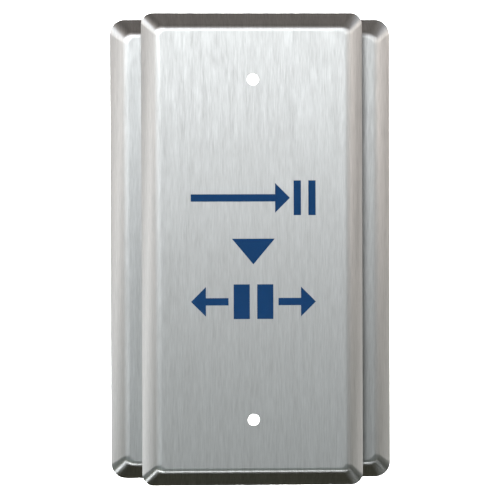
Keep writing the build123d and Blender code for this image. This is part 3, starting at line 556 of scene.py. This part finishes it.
def threaded_shank():
    """Tree that makes a threaded shank down from height 0, with a chamfered point."""
    tree, given = new_tree("threaded_shank", {
        "Radius": "Float", "Length": "Float", "Pitch": "Float", "Depth": "Float", "Point": "Float",
        "Rows": "Int", "Steps": "Int"})
    around = add(tree, "FunctionNodeIntegerMath", {0: given["Steps"], 1: 1}, operation="ADD")
    grid, row, column = rolled_grid(tree, given["Rows"], around)
    turn = add(tree, "ShaderNodeMath", {0: column, 1: given["Steps"]}, operation="DIVIDE")
    last = add(tree, "FunctionNodeIntegerMath", {0: given["Rows"], 1: 2}, operation="SUBTRACT")
    down = add(tree, "ShaderNodeMapRange", {
        0: row, 1: 1, 2: last, 3: 0, 4: given["Length"]})
    laps = add(tree, "ShaderNodeMath", {0: down, 1: given["Pitch"]}, operation="DIVIDE")
    phase = add(tree, "ShaderNodeMath", {0: laps, 1: turn}, operation="ADD")
    flank = add(tree, "ShaderNodeMath", {0: phase, 1: 0.5}, operation="PINGPONG")
    cut_in = add(tree, "ShaderNodeMath", {0: flank, 1: 2}, operation="MULTIPLY")
    groove = add(tree, "ShaderNodeMath", {0: cut_in, 1: given["Depth"]}, operation="MULTIPLY")
    crest = add(tree, "ShaderNodeMath", {0: given["Radius"], 1: groove}, operation="SUBTRACT")
    left = add(tree, "ShaderNodeMath", {0: given["Length"], 1: down}, operation="SUBTRACT")
    tip = add(tree, "ShaderNodeMath", {0: given["Radius"], 1: given["Point"]}, operation="SUBTRACT")
    cone = add(tree, "ShaderNodeMath", {0: tip, 1: left}, operation="ADD")
    held = add(tree, "ShaderNodeMath", {0: crest, 1: cone}, operation="MINIMUM")
    below_cap = add(tree, "FunctionNodeCompare", {2: row, 3: 0}, data_type="INT", operation="GREATER_THAN")
    above_cap = add(tree, "FunctionNodeCompare", {2: row, 3: last}, data_type="INT", operation="LESS_EQUAL")
    on_side = add(tree, "FunctionNodeBooleanMath", {0: below_cap, 1: above_cap}, operation="AND")
    radius = add(tree, "ShaderNodeMath", {0: held, 1: on_side}, operation="MULTIPLY")
    angle = add(tree, "ShaderNodeMath", {0: turn, 1: 2 * pi}, operation="MULTIPLY")
    spoke = add(tree, "ShaderNodeCombineXYZ", {"X": radius, "Y": down})
    position = add(tree, "ShaderNodeVectorRotate", {"Vector": spoke, "Angle": angle}, rotation_type="Y_AXIS")
    skin = add(tree, "GeometryNodeSetPosition", {"Geometry": grid, "Position": position})
    whole = add(tree, "GeometryNodeMergeByDistance", {0: skin, "Distance": WELD})
    return end_tree(tree, whole, given["Material"])


def at_places():
    """Tree that sets a piece on each of its own vertices."""
    tree, given = new_tree("at_places", {"Piece": "Object"})
    piece = add(tree, "GeometryNodeObjectInfo", {"Object": given["Piece"]}, transform_space="ORIGINAL")
    placed = add(tree, "GeometryNodeInstanceOnPoints", {
        "Points": given["Geometry"], "Instance": piece.outputs["Geometry"]})
    return end_tree(tree, placed, given["Material"])


turned_tree, threaded_tree, places_tree = turned_section(), threaded_shank(), at_places()


def eased(points, amount, ring=False, most=0.45):
    """A section with its corners cut back by an amount, or by most of a short side.

    A ring's section also closes on itself.
    """
    points = [Vector(p) for p in points]
    made = [] if ring else [points[0]]
    count = len(points)
    for i in range(0 if ring else 1, count if ring else count - 1):
        here = points[i]
        corner = []
        for other in (points[i - 1], points[(i + 1) % count]):
            arm = other - here
            corner.append(here + arm.normalized() * min(amount, arm.length * most))
        made += [corner[0], (corner[0] + corner[1]) / 4 + here / 2, corner[1]]
    made.append(made[0] if ring else points[-1])
    return made


def turned(name, points, material, across_flats=1.0, steps=48):
    """A piece turned round the Y axis, from a section of (radius, height)."""
    obj = mesh_object(name, [(x, y, 0) for x, y in points], [(i, i + 1) for i in range(len(points) - 1)])
    return outward(settle(grow(obj, turned_tree, steps=steps, across_flats=across_flats, material=material)))


def threaded(name, radius, top, bottom, material, pitch=THREAD_PITCH, depth=THREAD_DEPTH):
    """A threaded shank between two heights."""
    rows = round((top - bottom) / pitch * 8) + 4
    obj = grow(mesh_object(name, []), threaded_tree, radius=radius, length=top - bottom, pitch=pitch,
               depth=depth, point=THREAD_POINT, rows=rows, steps=32, material=material)
    return outward(settle(obj, Matrix.Translation((0, -top, 0))))


def copies(name, piece, spots):
    """One object with a piece set at each spot, and smooth shading."""
    material = piece.data.materials[0]
    obj = settle(grow(mesh_object(name, spots), places_tree, piece=piece, material=material))
    bpy.data.objects.remove(piece)
    return shade(obj)


def spots_of(*boxes):
    """Where pieces stand along the plate, from their boxes."""
    return [(middle(box).x, 0, middle(box).z) for box in boxes]


def mottled(name, dark, light, smooth, rough, size, relief, **sockets):
    """A surface whose tone, gloss and height wander over patches of the given size."""
    material, tree, shader = new_material(name, **sockets)
    point = add(tree, "ShaderNodeTexCoord").outputs["Object"]
    patches = add(tree, "ShaderNodeTexNoise", {"Vector": point, "Scale": 1 / size, "Detail": 4})
    tone = add(tree, "ShaderNodeValToRGB", {0: patches.outputs[0]})
    tone.color_ramp.elements[0].position, tone.color_ramp.elements[1].position = 0.32, 0.68
    tone.color_ramp.elements[0].color, tone.color_ramp.elements[1].color = linear(dark), linear(light)
    gloss = add(tree, "ShaderNodeMapRange", {0: patches.outputs[0], 1: 0.32, 2: 0.68, 3: rough, 4: smooth})
    grit = add(tree, "ShaderNodeTexNoise", {"Vector": point, "Scale": 4 / size, "Detail": 3})
    bump = add(tree, "ShaderNodeBump", {"Strength": 0.4, "Distance": relief, "Height": grit.outputs[0]})
    paint(tree, shader, {"Base Color": tone, "Roughness": gloss, "Normal": bump})
    return material


# Bright, slightly streaked metal that a lathe or a mill left.
plain_steel = mottled(
    "satin_stainless", "#BBBBB9", "#C8C8C5", 0.24, 0.34, 0.35 * MM, 0.001 * MM, metallic=1.0)
stud_boxes = [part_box(node) for node in four("guide_stud")]
washer_boxes = solids("stud_washers")
stud_top, stud_end = heights(stud_boxes[0])
thread_top = -washer_boxes[0][0].y
stud = join(
    "stud",
    turned("stud_plain", eased([
        (0, stud_top), (STUD_FOOT_R, stud_top), (STUD_FOOT_R, stud_top - STUD_FOOT_T),
        (STUD_R, stud_top - STUD_FOOT_T), (STUD_R, thread_top), (0, thread_top)], EDGE_BREAK), plain_steel),
    threaded("stud_thread", STUD_R, thread_top, stud_end, plain_steel),
)
studs = copies("guide_studs_threaded", stud, spots_of(*stud_boxes))
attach(studs, "push")
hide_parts(*four("guide_stud"))

# ----------------------------------------------------------
# Guide bushes: flanged sleeves moulded in natural acetal and pressed into the back plate from the
# front. The studs slide in them, and the springs sit on their flanges.
# ----------------------------------------------------------
BUSH_BORE_R, BUSH_FLANGE_T = 1.55 * MM, 0.8 * MM

bush_boxes = [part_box(node) for node in four("guide_bush")]
bush_flange_r = half_width(bush_boxes[0])
bush_top, bush_end = heights(bush_boxes[0])
# Waxy white plastic: light goes a little way in, so its edges look soft.
acetal = mottled(
    "natural_acetal", "#D9D9D2", "#EAEAE4", 0.35, 0.5, 1.2 * MM, 0.004 * MM, subsurface_weight=0.2,
    subsurface_radius=(0.6 * MM, 0.5 * MM, 0.4 * MM), subsurface_scale=1.0)
bush = turned("bush", eased([
    (BUSH_BORE_R, bush_end), (BUSH_HOLE_R, bush_end), (BUSH_HOLE_R, bush_top - BUSH_FLANGE_T),
    (bush_flange_r, bush_top - BUSH_FLANGE_T), (bush_flange_r, bush_top), (BUSH_BORE_R, bush_top),
], 0.15 * MM, ring=True), acetal)
bushes = copies("guide_bushes_moulded", bush, spots_of(*bush_boxes))
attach(bushes, "back")
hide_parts(*four("guide_bush"))

# ----------------------------------------------------------
# Return springs: five-turn compression springs of 0.5 mm stainless wire, coiled round the studs
# between the bushes and the push plate, with a closed turn at each end.
# ----------------------------------------------------------
WIRE_R = 0.25 * MM
SPRING_TURNS = 6  # with the two closed ones


def coiled_wire():
    """Tree that coils wire up from height 0, its first and last turn lying closed."""
    tree, given = new_tree("coiled_wire", {
        "Radius": "Float", "Height": "Float", "Wire Radius": "Float", "Turns": "Float", "Steps": "Int"})
    line = add(tree, "GeometryNodeMeshLine", {"Count": given["Steps"]})
    index = add(tree, "GeometryNodeInputIndex")
    last = add(tree, "FunctionNodeIntegerMath", {0: given["Steps"], 1: 1}, operation="SUBTRACT")
    turn = add(tree, "ShaderNodeMapRange", {0: index, 1: 0, 2: last, 3: 0, 4: given["Turns"]})
    wire = add(tree, "ShaderNodeMath", {0: given["Wire Radius"], 1: 2}, operation="MULTIPLY")
    open_h = add(tree, "ShaderNodeMath", {0: wire, 1: -3, 2: given["Height"]}, operation="MULTIPLY_ADD")
    closing = add(tree, "ShaderNodeMath", {0: given["Turns"], 1: 1}, operation="SUBTRACT")
    first_up = add(tree, "ShaderNodeMapRange", {0: turn, 1: 0, 2: 1, 3: 0, 4: wire})
    open_up = add(tree, "ShaderNodeMapRange", {0: turn, 1: 1, 2: closing, 3: 0, 4: open_h})
    last_up = add(tree, "ShaderNodeMapRange", {0: turn, 1: closing, 2: given["Turns"], 3: 0, 4: wire})
    low = add(tree, "ShaderNodeMath", {0: first_up, 1: open_up}, operation="ADD")
    high = add(tree, "ShaderNodeMath", {0: low, 1: last_up}, operation="ADD")
    height = add(tree, "ShaderNodeMath", {0: high, 1: given["Wire Radius"]}, operation="ADD")
    angle = add(tree, "ShaderNodeMath", {0: turn, 1: 2 * pi}, operation="MULTIPLY")
    down = add(tree, "ShaderNodeMath", {0: height, 1: -1}, operation="MULTIPLY")
    spoke = add(tree, "ShaderNodeCombineXYZ", {"X": given["Radius"], "Y": down})
    position = add(tree, "ShaderNodeVectorRotate", {"Vector": spoke, "Angle": angle}, rotation_type="Y_AXIS")
    path = add(tree, "GeometryNodeSetPosition", {"Geometry": line, "Position": position})
    curve = add(tree, "GeometryNodeMeshToCurve", {"Mesh": path})
    ring = add(tree, "GeometryNodeCurvePrimitiveCircle", {"Resolution": 12, "Radius": given["Wire Radius"]})
    coil = add(tree, "GeometryNodeCurveToMesh", {
        "Curve": curve, "Profile Curve": ring.outputs["Curve"], "Fill Caps": True})
    return end_tree(tree, coil, given["Material"])


spring_boxes = [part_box(node) for node in four("return_spring")]
spring_h = spring_boxes[0][1].y - spring_boxes[0][0].y
spring_r = half_width(spring_boxes[0]) - WIRE_R
# Drawn wire: bright, with faint lines along it.
spring_steel = mottled(
    "drawn_spring_wire", "#A6A6A3", "#BEBEBB", 0.2, 0.32, 0.3 * MM, 0.001 * MM, metallic=1.0)
spring = settle(
    grow(mesh_object("spring", []), coiled_wire(), radius=spring_r, height=spring_h, wire_radius=WIRE_R,
         turns=SPRING_TURNS, steps=SPRING_TURNS * 28 + 1, material=spring_steel),
    Matrix.Translation((0, spring_boxes[0][1].y, 0)),
)
springs = copies("return_springs_coiled", outward(spring), spots_of(*spring_boxes))
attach(springs, "back")
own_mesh(springs)
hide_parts(*four("return_spring"))

# ----------------------------------------------------------
# Travel bumpers: black silicone stops that end the press without a click. Each has a stem pulled
# through a hole in the back plate and a barb behind it.
# ----------------------------------------------------------
BUMPER_BARB_R, BUMPER_TAIL_R = 2.1 * MM, 1.1 * MM

bumper_boxes = [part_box(node) for node in four("travel_bumper")]
bumper_r = half_width(bumper_boxes[0])
bumper_top, bumper_end = heights(bumper_boxes[0])
sheet_top, sheet_under = -sheet_ys[0], -sheet_ys[1]
# Matt and dusty, so that it shows a grey bloom rather than a highlight.
silicone = mottled("black_silicone", "#1D1D1D", "#2E2E2D", 0.6, 0.8, 0.8 * MM, 0.02 * MM)
bumper = turned("bumper", eased([
    (0, bumper_top), (bumper_r, bumper_top), (bumper_r, sheet_top), (STEM_HOLE_R, sheet_top),
    (STEM_HOLE_R, sheet_under), (BUMPER_BARB_R, sheet_under), (BUMPER_TAIL_R, bumper_end), (0, bumper_end),
], 0.5 * MM), silicone)
bumpers = copies("travel_bumpers_moulded", bumper, spots_of(*bumper_boxes))
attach(bumpers, "back")
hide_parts(*four("travel_bumper"))

# ----------------------------------------------------------
# Stud washers, lock nuts and their inserts: a flat washer and a nylon-insert nut on each stud hold
# the push plate against its springs. The washers are plain stainless; the nuts are zinc plated, with
# the blue ring crimped into a collar.
# ----------------------------------------------------------
WASHER_BORE_R = 1.6 * MM
NUT_ACROSS_FLATS = 5.5 * MM
NUT_EDGE = 0.25 * MM  # 30 degree chamfer on a nut's corners
NUT_EASE = 0.06 * MM  # on its other edges
LOCK_NUT_HEX_H = 2.8 * MM
COLLAR_R, COLLAR_WALL = 2.65 * MM, 0.5 * MM

# Bright zinc: bluish, with cloudy patches from the plating barrel.
zinc = mottled("bright_zinc_plating", "#B0B5BB", "#C6CBD1", 0.18, 0.3, 0.8 * MM, 0.001 * MM, metallic=1.0)
washer_r = half_width(washer_boxes[0])
washer_bottom = -washer_boxes[0][1].y
washer = turned("washer", eased([
    (WASHER_BORE_R, washer_bottom), (washer_r, washer_bottom), (washer_r, thread_top),
    (WASHER_BORE_R, thread_top)], 0.08 * MM, ring=True), plain_steel)
washers = copies("stud_washers_stamped", washer, spots_of(*washer_boxes))
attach(washers, "push")
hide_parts("stud_washers")


def nut_corners(top, bottom, bore_r):
    """The section of a hexagonal nut, with its corners chamfered at both faces."""
    corner_r = NUT_ACROSS_FLATS / 2 / cos(pi / 6)
    face_r = corner_r - NUT_EDGE * tan(pi / 3)
    steps = [(bore_r, top), (face_r, top), (corner_r, top - NUT_EDGE), (corner_r, bottom + NUT_EDGE),
             (face_r, bottom), (bore_r, bottom)]
    return steps


lock_boxes = solids("stud_lock_nuts")
lock_top, lock_end = heights(lock_boxes[0])
hex_end = lock_top - LOCK_NUT_HEX_H
inner_r = COLLAR_R - COLLAR_WALL
lock_section = nut_corners(lock_top, hex_end, STUD_R)[:-1]
lock_section += [(COLLAR_R, hex_end), (COLLAR_R, lock_end), (inner_r, lock_end), (inner_r, hex_end),
                 (STUD_R, hex_end)]
lock_nut = turned("lock_nut", eased(lock_section, 0.08 * MM, ring=True), zinc, NUT_ACROSS_FLATS)
lock_nuts = copies("stud_lock_nuts_crimped", lock_nut, spots_of(*lock_boxes))
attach(lock_nuts, "push")
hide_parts("stud_lock_nuts")

insert_boxes = solids("lock_nut_inserts")
insert_top, insert_end = heights(insert_boxes[0])
# Dyed nylon with a slight sheen where the thread has burnished it.
blue_nylon = mottled(
    "blue_nylon", "#1D4E9C", "#2C63B5", 0.35, 0.55, 0.6 * MM, 0.01 * MM, subsurface_weight=0.1,
    subsurface_radius=(0.2 * MM, 0.2 * MM, 0.4 * MM), subsurface_scale=1.0)
insert = turned("insert", eased([
    (STUD_R, insert_end), (inner_r, insert_end), (inner_r, insert_top), (STUD_R, insert_top)],
    0.1 * MM, ring=True), blue_nylon)
inserts = copies("lock_nut_inserts_nylon", insert, spots_of(*insert_boxes))
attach(inserts, "push")
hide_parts("lock_nut_inserts")

# ----------------------------------------------------------
# Switch bracket: an angle pressed from 1.2 mm stainless sheet. Its flange is screwed under the back
# plate beside the window, and its web holds the switch by two screws.
# ----------------------------------------------------------


def softened(name, node, material, width=0.1 * MM):
    """A copy of a CAD node with its edges eased, as tumbling or a mould leaves them."""
    bm = cad_mesh(node)
    bmesh.ops.dissolve_limit(bm, angle_limit=radians(1), verts=bm.verts, edges=bm.edges)
    obj = mesh_object(name, [])
    bm.to_mesh(obj.data)
    bm.free()
    obj.data.materials.append(material)
    bevel = obj.modifiers.new("ease", "BEVEL")
    bevel.width, bevel.segments, bevel.limit_method, bevel.angle_limit = width, 2, "ANGLE", radians(32)
    return shade(settle(obj))


bracket = softened("switch_bracket_pressed", "switch_bracket", plain_steel, 0.12 * MM)
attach(bracket, "back")
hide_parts("switch_bracket")

# ----------------------------------------------------------
# Bracket screws and nuts: M3 pan-head screws with cross recesses, through the back plate and the
# bracket's flange into plain hexagon nuts. Zinc plated steel.
# ----------------------------------------------------------
SCREW_R = 1.5 * MM
HEAD_R, HEAD_H, HEAD_SIDE_H, HEAD_FLAT_R = 2.8 * MM, 2.0 * MM, 0.9 * MM, 1.75 * MM
HEAD_ROUND_W, HEAD_ROUND_H = 0.25 * MM, 0.55 * MM  # of the shoulder of a head
NECK = 0.2 * MM  # plain under the head
RECESS_LENGTH, RECESS_WIDTH, RECESS_DEPTH = 3.2 * MM, 0.8 * MM, 1.1 * MM


def pan_screw(name, head_top, end, material):
    """A pan-head screw along Y, its head towards -Y, with a cross recess."""
    seat = head_top - HEAD_H
    head = turned(name + "_head", eased([
        (0, head_top), (HEAD_FLAT_R, head_top), (HEAD_R - HEAD_ROUND_W, head_top - HEAD_ROUND_H),
        (HEAD_R, seat + HEAD_SIDE_H), (HEAD_R, seat), (SCREW_R, seat), (SCREW_R, seat - NECK),
        (0, seat - NECK)], 0.12 * MM), material)
    slots = []
    for across, up in ((RECESS_LENGTH, RECESS_WIDTH), (RECESS_WIDTH, RECESS_LENGTH)):
        w, h = across / 2, up / 2
        slots.append(prism("slot", [(-w, -h), (w, -h), (w, h), (-w, h)], -head_top - 1 * MM,
                           -head_top + RECESS_DEPTH))
    for slot in slots:
        boolean = head.modifiers.new("recess", "BOOLEAN")
        boolean.object, boolean.solver, boolean.operation = slot, "EXACT", "DIFFERENCE"
        settle(head)
        bpy.data.objects.remove(slot)
    return join(name, head, threaded(name + "_shank", SCREW_R, seat - NECK, end, material))


bracket_screw_boxes = solids("bracket_screws")
screw = pan_screw("screw", *heights(bracket_screw_boxes[0]), zinc)
bracket_screws = copies("bracket_screws_threaded", screw, spots_of(*bracket_screw_boxes))
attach(bracket_screws, "back")
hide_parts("bracket_screws")

nut_boxes = solids("bracket_nuts")
nut_section = nut_corners(*heights(nut_boxes[0]), SCREW_R)
nut = turned("nut", eased(nut_section, NUT_EASE, ring=True), zinc, NUT_ACROSS_FLATS)
bracket_nuts = copies("bracket_nuts_hexagonal", nut, spots_of(*nut_boxes))
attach(bracket_nuts, "back")
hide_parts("bracket_nuts")

# ----------------------------------------------------------
# Switch housing: a deep half and a cover, moulded in black phenolic, that close round the contacts.
# Two ears on top hold the lever's pin. Its top stands just under the back plate's face.
# ----------------------------------------------------------
# Filled resin: dull black, with fine grey specks of filler under a moulded skin.
phenolic = mottled("black_phenolic", "#161617", "#262627", 0.38, 0.55, 0.5 * MM, 0.012 * MM)
for node in ("switch_case", "switch_cover"):
    half = softened(node + "_moulded", node, phenolic, 0.12 * MM)
    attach(half, "back")
    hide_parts(node)

# ----------------------------------------------------------
# Switch screws and nuts: two M3 pan-head screws that run across the switch, clamp its halves and
# hold it to the bracket's web, with nuts on the far side.
# ----------------------------------------------------------
switch_screw_boxes = solids("switch_screws")
heads_x, ends_x = switch_screw_boxes[0][1].x, switch_screw_boxes[0][0].x
across = Matrix.Rotation(pi / 2, 4, "Z")  # from -Y to +X
screw = pan_screw("screw", heads_x, ends_x, zinc)
screw.data.transform(across)
switch_screws = copies("switch_screws_threaded", screw, [
    (0, middle(box).y, middle(box).z) for box in switch_screw_boxes])
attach(switch_screws, "back")
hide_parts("switch_screws")

switch_nut_boxes = solids("switch_nuts")
nut_section = nut_corners(switch_nut_boxes[0][1].x, switch_nut_boxes[0][0].x, SCREW_R)
nut = turned("nut", eased(nut_section, NUT_EASE, ring=True), zinc, NUT_ACROSS_FLATS)
nut.data.transform(across)
switch_nuts = copies("switch_nuts_hexagonal", nut, [
    (0, middle(box).y, middle(box).z) for box in switch_nut_boxes])
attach(switch_nuts, "back")
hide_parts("switch_nuts")

# ----------------------------------------------------------
# Lever and its pins: a spring steel strip curled round a pin in the housing's ears, with two small
# ears of its own that hold the roller's pin. The push plate presses on the roller.
# ----------------------------------------------------------


def cross_pin(name, node, material):
    """A turned pin along X with chamfered ends, in place of a CAD pin."""
    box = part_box(node)
    radius = (box[1].z - box[0].z) / 2
    pin = turned(name, eased([
        (0, box[1].x), (radius, box[1].x), (radius, box[0].x), (0, box[0].x)], 0.12 * MM), material, steps=32)
    pin.data.transform(Matrix.Translation((0, middle(box).y, middle(box).z)) @ across)
    return shade(pin)


lever = softened("switch_lever_formed", "switch_lever", spring_steel, 0.06 * MM)
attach(lever, "lever")
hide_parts("switch_lever")
pivot_pin = cross_pin("lever_pivot_pin_ground", "lever_pivot_pin", plain_steel)
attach(pivot_pin, "back")
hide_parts("lever_pivot_pin")
roller_pin = cross_pin("roller_pin_ground", "roller_pin", plain_steel)
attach(roller_pin, "lever")
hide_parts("roller_pin")

# ----------------------------------------------------------
# Lever roller: a small acetal wheel, free on its pin, so that the push plate rolls along it
# instead of rubbing the lever.
# ----------------------------------------------------------
ROLLER_BORE_R = 0.63 * MM

roller_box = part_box("lever_roller")
roller_r = (roller_box[1].z - roller_box[0].z) / 2
low_x, high_x = roller_box[0].x, roller_box[1].x
roller = turned("lever_roller_moulded", eased([
    (ROLLER_BORE_R, low_x), (roller_r, low_x), (roller_r, high_x), (ROLLER_BORE_R, high_x)],
    0.3 * MM, ring=True), acetal)
roller.data.transform(Matrix.Translation((0, middle(roller_box).y, middle(roller_box).z)) @ across)
shade(roller)
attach(roller, "roller")
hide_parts("lever_roller")

# ----------------------------------------------------------
# Plunger: the red button between the lever and the contact blade, moulded in glass-filled
# polyester, with a collar that keeps it in the housing.
# ----------------------------------------------------------
# Glass-filled plastic with a satin skin; it is a little translucent, but is drawn opaque.
red_plastic = mottled("red_glass_filled_polyester", "#9C1C14", "#B5281D", 0.3, 0.45, 0.5 * MM, 0.006 * MM)
plunger = softened("switch_plunger_moulded", "switch_plunger", red_plastic, 0.08 * MM)
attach(plunger, "plunger")
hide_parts("switch_plunger")

# ----------------------------------------------------------
# Contact blade and contacts: a rolled copper alloy blade that rocks on the common terminal, with a
# riveted silver contact at its tip, between two silver contacts on the other terminals.
# ----------------------------------------------------------
# Rolled bronze: warm and bright, dulled in patches by handling.
copper = mottled("rolled_copper_alloy", "#B5744A", "#CC8859", 0.2, 0.34, 1.0 * MM, 0.001 * MM, metallic=1.0)
# Coined silver: nearly white, with a faint matt bloom.
silver = mottled("contact_silver", "#D5D4D0", "#E4E3DF", 0.15, 0.28, 0.4 * MM, 0.001 * MM, metallic=1.0)
CONTACT_H = 0.45 * MM  # of a contact's head
RIVET_R = 0.55 * MM
DOME = ((0.45, 0.005 * MM), (0.8, 0.04 * MM), (1, 0.14 * MM))  # (part of the radius, fall from the top)

blade = softened("contact_blade_rolled", "contact_blade", copper, 0.03 * MM)
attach(blade, "blade")
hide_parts("contact_blade")


def domed_head(radius, face, base):
    """The section of a contact's head, from the middle of its domed face to its base."""
    side = 1 if face > base else -1
    return [(0, face)] + [(radius * part, face - side * fall) for part, fall in DOME] + [(radius, base)]


moving_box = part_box("moving_contact")
contact_r = half_width(moving_box)
faces = heights(moving_box)
section = domed_head(contact_r, faces[0], faces[0] - CONTACT_H)
section += [(RIVET_R, faces[0] - CONTACT_H), (RIVET_R, faces[1] + CONTACT_H)]
section += domed_head(contact_r, faces[1], faces[1] + CONTACT_H)[::-1]
moving = copies("moving_contact_coined", turned("contact", section, silver), spots_of(moving_box))
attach(moving, "blade")
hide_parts("moving_contact")

fixed = []
for box in solids("fixed_contacts"):
    near, far = sorted((-box[0].y, -box[1].y), key=lambda height: abs(height + middle(moving_box).y))
    head = turned("contact", domed_head(contact_r, near, far) + [(0, far)], silver)
    fixed.append(copies("fixed_contact", head, spots_of(box)))
fixed = shade(join("fixed_contacts_coined", *fixed))
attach(fixed, "back")
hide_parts("fixed_contacts")

# ----------------------------------------------------------
# Terminals: three push-on tabs stamped from tinned brass, that come out of the bottom of the
# switch towards the wall box. Each is pierced for a wire's hook.
# ----------------------------------------------------------
# Tin over brass: grey white, with a yellow cast where the tin is thin.
tinned = mottled("tinned_brass_strip", "#BCB6A4", "#CBC7BB", 0.24, 0.36, 1.2 * MM, 0.001 * MM, metallic=1.0)
for node in ("terminal_common", "terminal_normally_open", "terminal_normally_closed"):
    tab = softened(node + "_stamped", node, tinned, 0.05 * MM)
    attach(tab, "back")
    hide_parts(node)

# ----------------------------------------------------------
# Studio: a white sweep behind and below, and soft light from above, with the camera a little left
# of the middle, level with the plate.
# ----------------------------------------------------------
CAMERA_PLACE = (-0.038, -0.805, 0.0127)
AIM = (-0.00047, -0.008, -0.00017)
LENS = 232.6
ROLL = radians(-0.17)

camera = bpy.data.objects.new("camera", bpy.data.cameras.new("camera"))
bpy.context.scene.collection.objects.link(camera)
camera.data.lens, camera.data.sensor_width = LENS, 36
camera.data.clip_start, camera.data.clip_end = 0.01, 20
gaze = (Vector(AIM) - Vector(CAMERA_PLACE)).to_track_quat("-Z", "Y").to_matrix().to_4x4()
camera.matrix_world = Matrix.Translation(CAMERA_PLACE) @ gaze @ Matrix.Rotation(ROLL, 4, "Z")
bpy.context.scene.camera = camera
bpy.context.scene.view_settings.view_transform = "Standard"

sweep_points = []
for i in range(13):
    turn = pi / 2 * i / 12
    sweep_points.append((0.5 + 0.4 * sin(turn), -0.16 + 0.4 * (1 - cos(turn))))
sweep_points = [(-2.0, -0.16)] + sweep_points + [(0.9, 2.5)]
sweep = mesh_object(
    "sweep",
    [(x, y, z) for x in (-2.5, 2.5) for y, z in sweep_points],
    (),
    [(i, i + 1, i + 1 + len(sweep_points), i + len(sweep_points)) for i in range(len(sweep_points) - 1)],
)
sweep.data.shade_smooth()
paper = new_material("white_paper", base_color=linear("#F4F4F4"), roughness=0.9)
sweep.data.materials.append(paper[0])
sweep.visible_glossy = False


def softbox(name, place, aim, width, height, power, spread=pi):
    """A rectangular area light, whose light leaves within the spread."""
    light = bpy.data.lights.new(name, "AREA")
    light.shape, light.size, light.size_y, light.energy = "RECTANGLE", width, height, power
    light.spread = spread
    obj = bpy.data.objects.new(name, light)
    bpy.context.scene.collection.objects.link(obj)
    obj.matrix_world = Matrix.Translation(place) @ (
        Vector(aim) - Vector(place)).to_track_quat("-Z", "Y").to_matrix().to_4x4()
    return obj


softbox("sweep_light", (0, 0.3, 1.6), (0, 1.0, 0), 3.0, 0.6, 40, radians(50)).visible_glossy = False
softbox("key_left", (-1.3, -0.7, 0.35), (0, 0, 0), 0.25, 1.2, 2)

# The room's brightness seen in each direction. Height runs from straight down (0) to straight up (1)
# in front of the plate and behind it, and side from the left (0) to the right (1) in front of it.
ROOM_FRONT = (
    (0.0, "#272721"), (0.07, "#303029"), (0.085, "#FDFFFF"), (0.135, "#FDFFFF"), (0.16, "#69695B"),
    (0.25, "#686D6C"), (0.35, "#686D6C"), (0.44, "#626565"), (0.459, "#6C706F"), (0.4645, "#E6EEED"),
    (0.4705, "#606162"), (0.484, "#5D5D5E"), (0.492, "#6B6C6D"), (0.503, "#969798"),
    (0.513, "#DFE1E3"), (0.525, "#FDFFFF"), (0.6, "#FDFFFF"), (0.8, "#F2F3F6"), (0.9, "#807A76"),
    (1.0, "#504D4A"),
)
ROOM_SIDE = (
    (0.0, "#65605D"), (0.08, "#86807C"), (0.18, "#D8DADC"), (0.28, "#FDFFFF"), (0.4, "#FDFFFF"),
    (0.45, "#D8DADC"), (0.49, "#9A9B9D"), (0.53, "#58595A"), (0.57, "#303031"), (0.75, "#262727"),
    (0.87, "#383839"), (0.94, "#B9B1AB"), (1.0, "#B4ACA6"),
)
ROOM_BACK = (
    (0.0, "#191915"), (0.25, "#1D1D18"), (0.4, "#2B2C28"), (0.459, "#343530"), (0.47, "#41423D"),
    (0.49, "#736E6B"), (0.51, "#807A76"), (0.6, "#7D7873"), (0.72, "#5C5855"), (0.85, "#373432"),
    (1.0, "#302E2C"),
)


def graded(tree, value, stops):
    """A colour ramp over a direction's part from -1 to 1, through (place, colour) stops."""
    part = add(tree, "ShaderNodeMapRange", {0: value, 1: -1, 2: 1, 3: 0, 4: 1})
    ramp = add(tree, "ShaderNodeValToRGB", {0: part})
    for i, (place, code) in enumerate(stops):
        stops_made = ramp.color_ramp.elements
        stop = stops_made[i] if i < 2 else stops_made.new(place)
        stop.position, stop.color = place, linear(code)
    return ramp


world = bpy.data.worlds.new("room")
world.use_nodes = True
tree = world.node_tree
way = add(tree, "ShaderNodeSeparateXYZ", {0: add(tree, "ShaderNodeTexCoord").outputs["Generated"]})
height = graded(tree, way.outputs["Z"], ROOM_FRONT)
side = graded(tree, way.outputs["X"], ROOM_SIDE)
ahead = add(tree, "ShaderNodeMix", {0: 1, 6: height, 7: side}, data_type="RGBA", blend_type="MULTIPLY")
behind = graded(tree, way.outputs["Z"], ROOM_BACK)
turn = add(tree, "ShaderNodeMapRange", {0: way.outputs["Y"], 1: -0.2, 2: 0.3})
both = add(tree, "ShaderNodeMix", {0: turn, 6: ahead, 7: behind}, data_type="RGBA")
tree.links.new(both.outputs[2], tree.nodes["Background"].inputs["Color"])
tree.nodes["Background"].inputs["Strength"].default_value = 6.5
bpy.context.scene.world = world
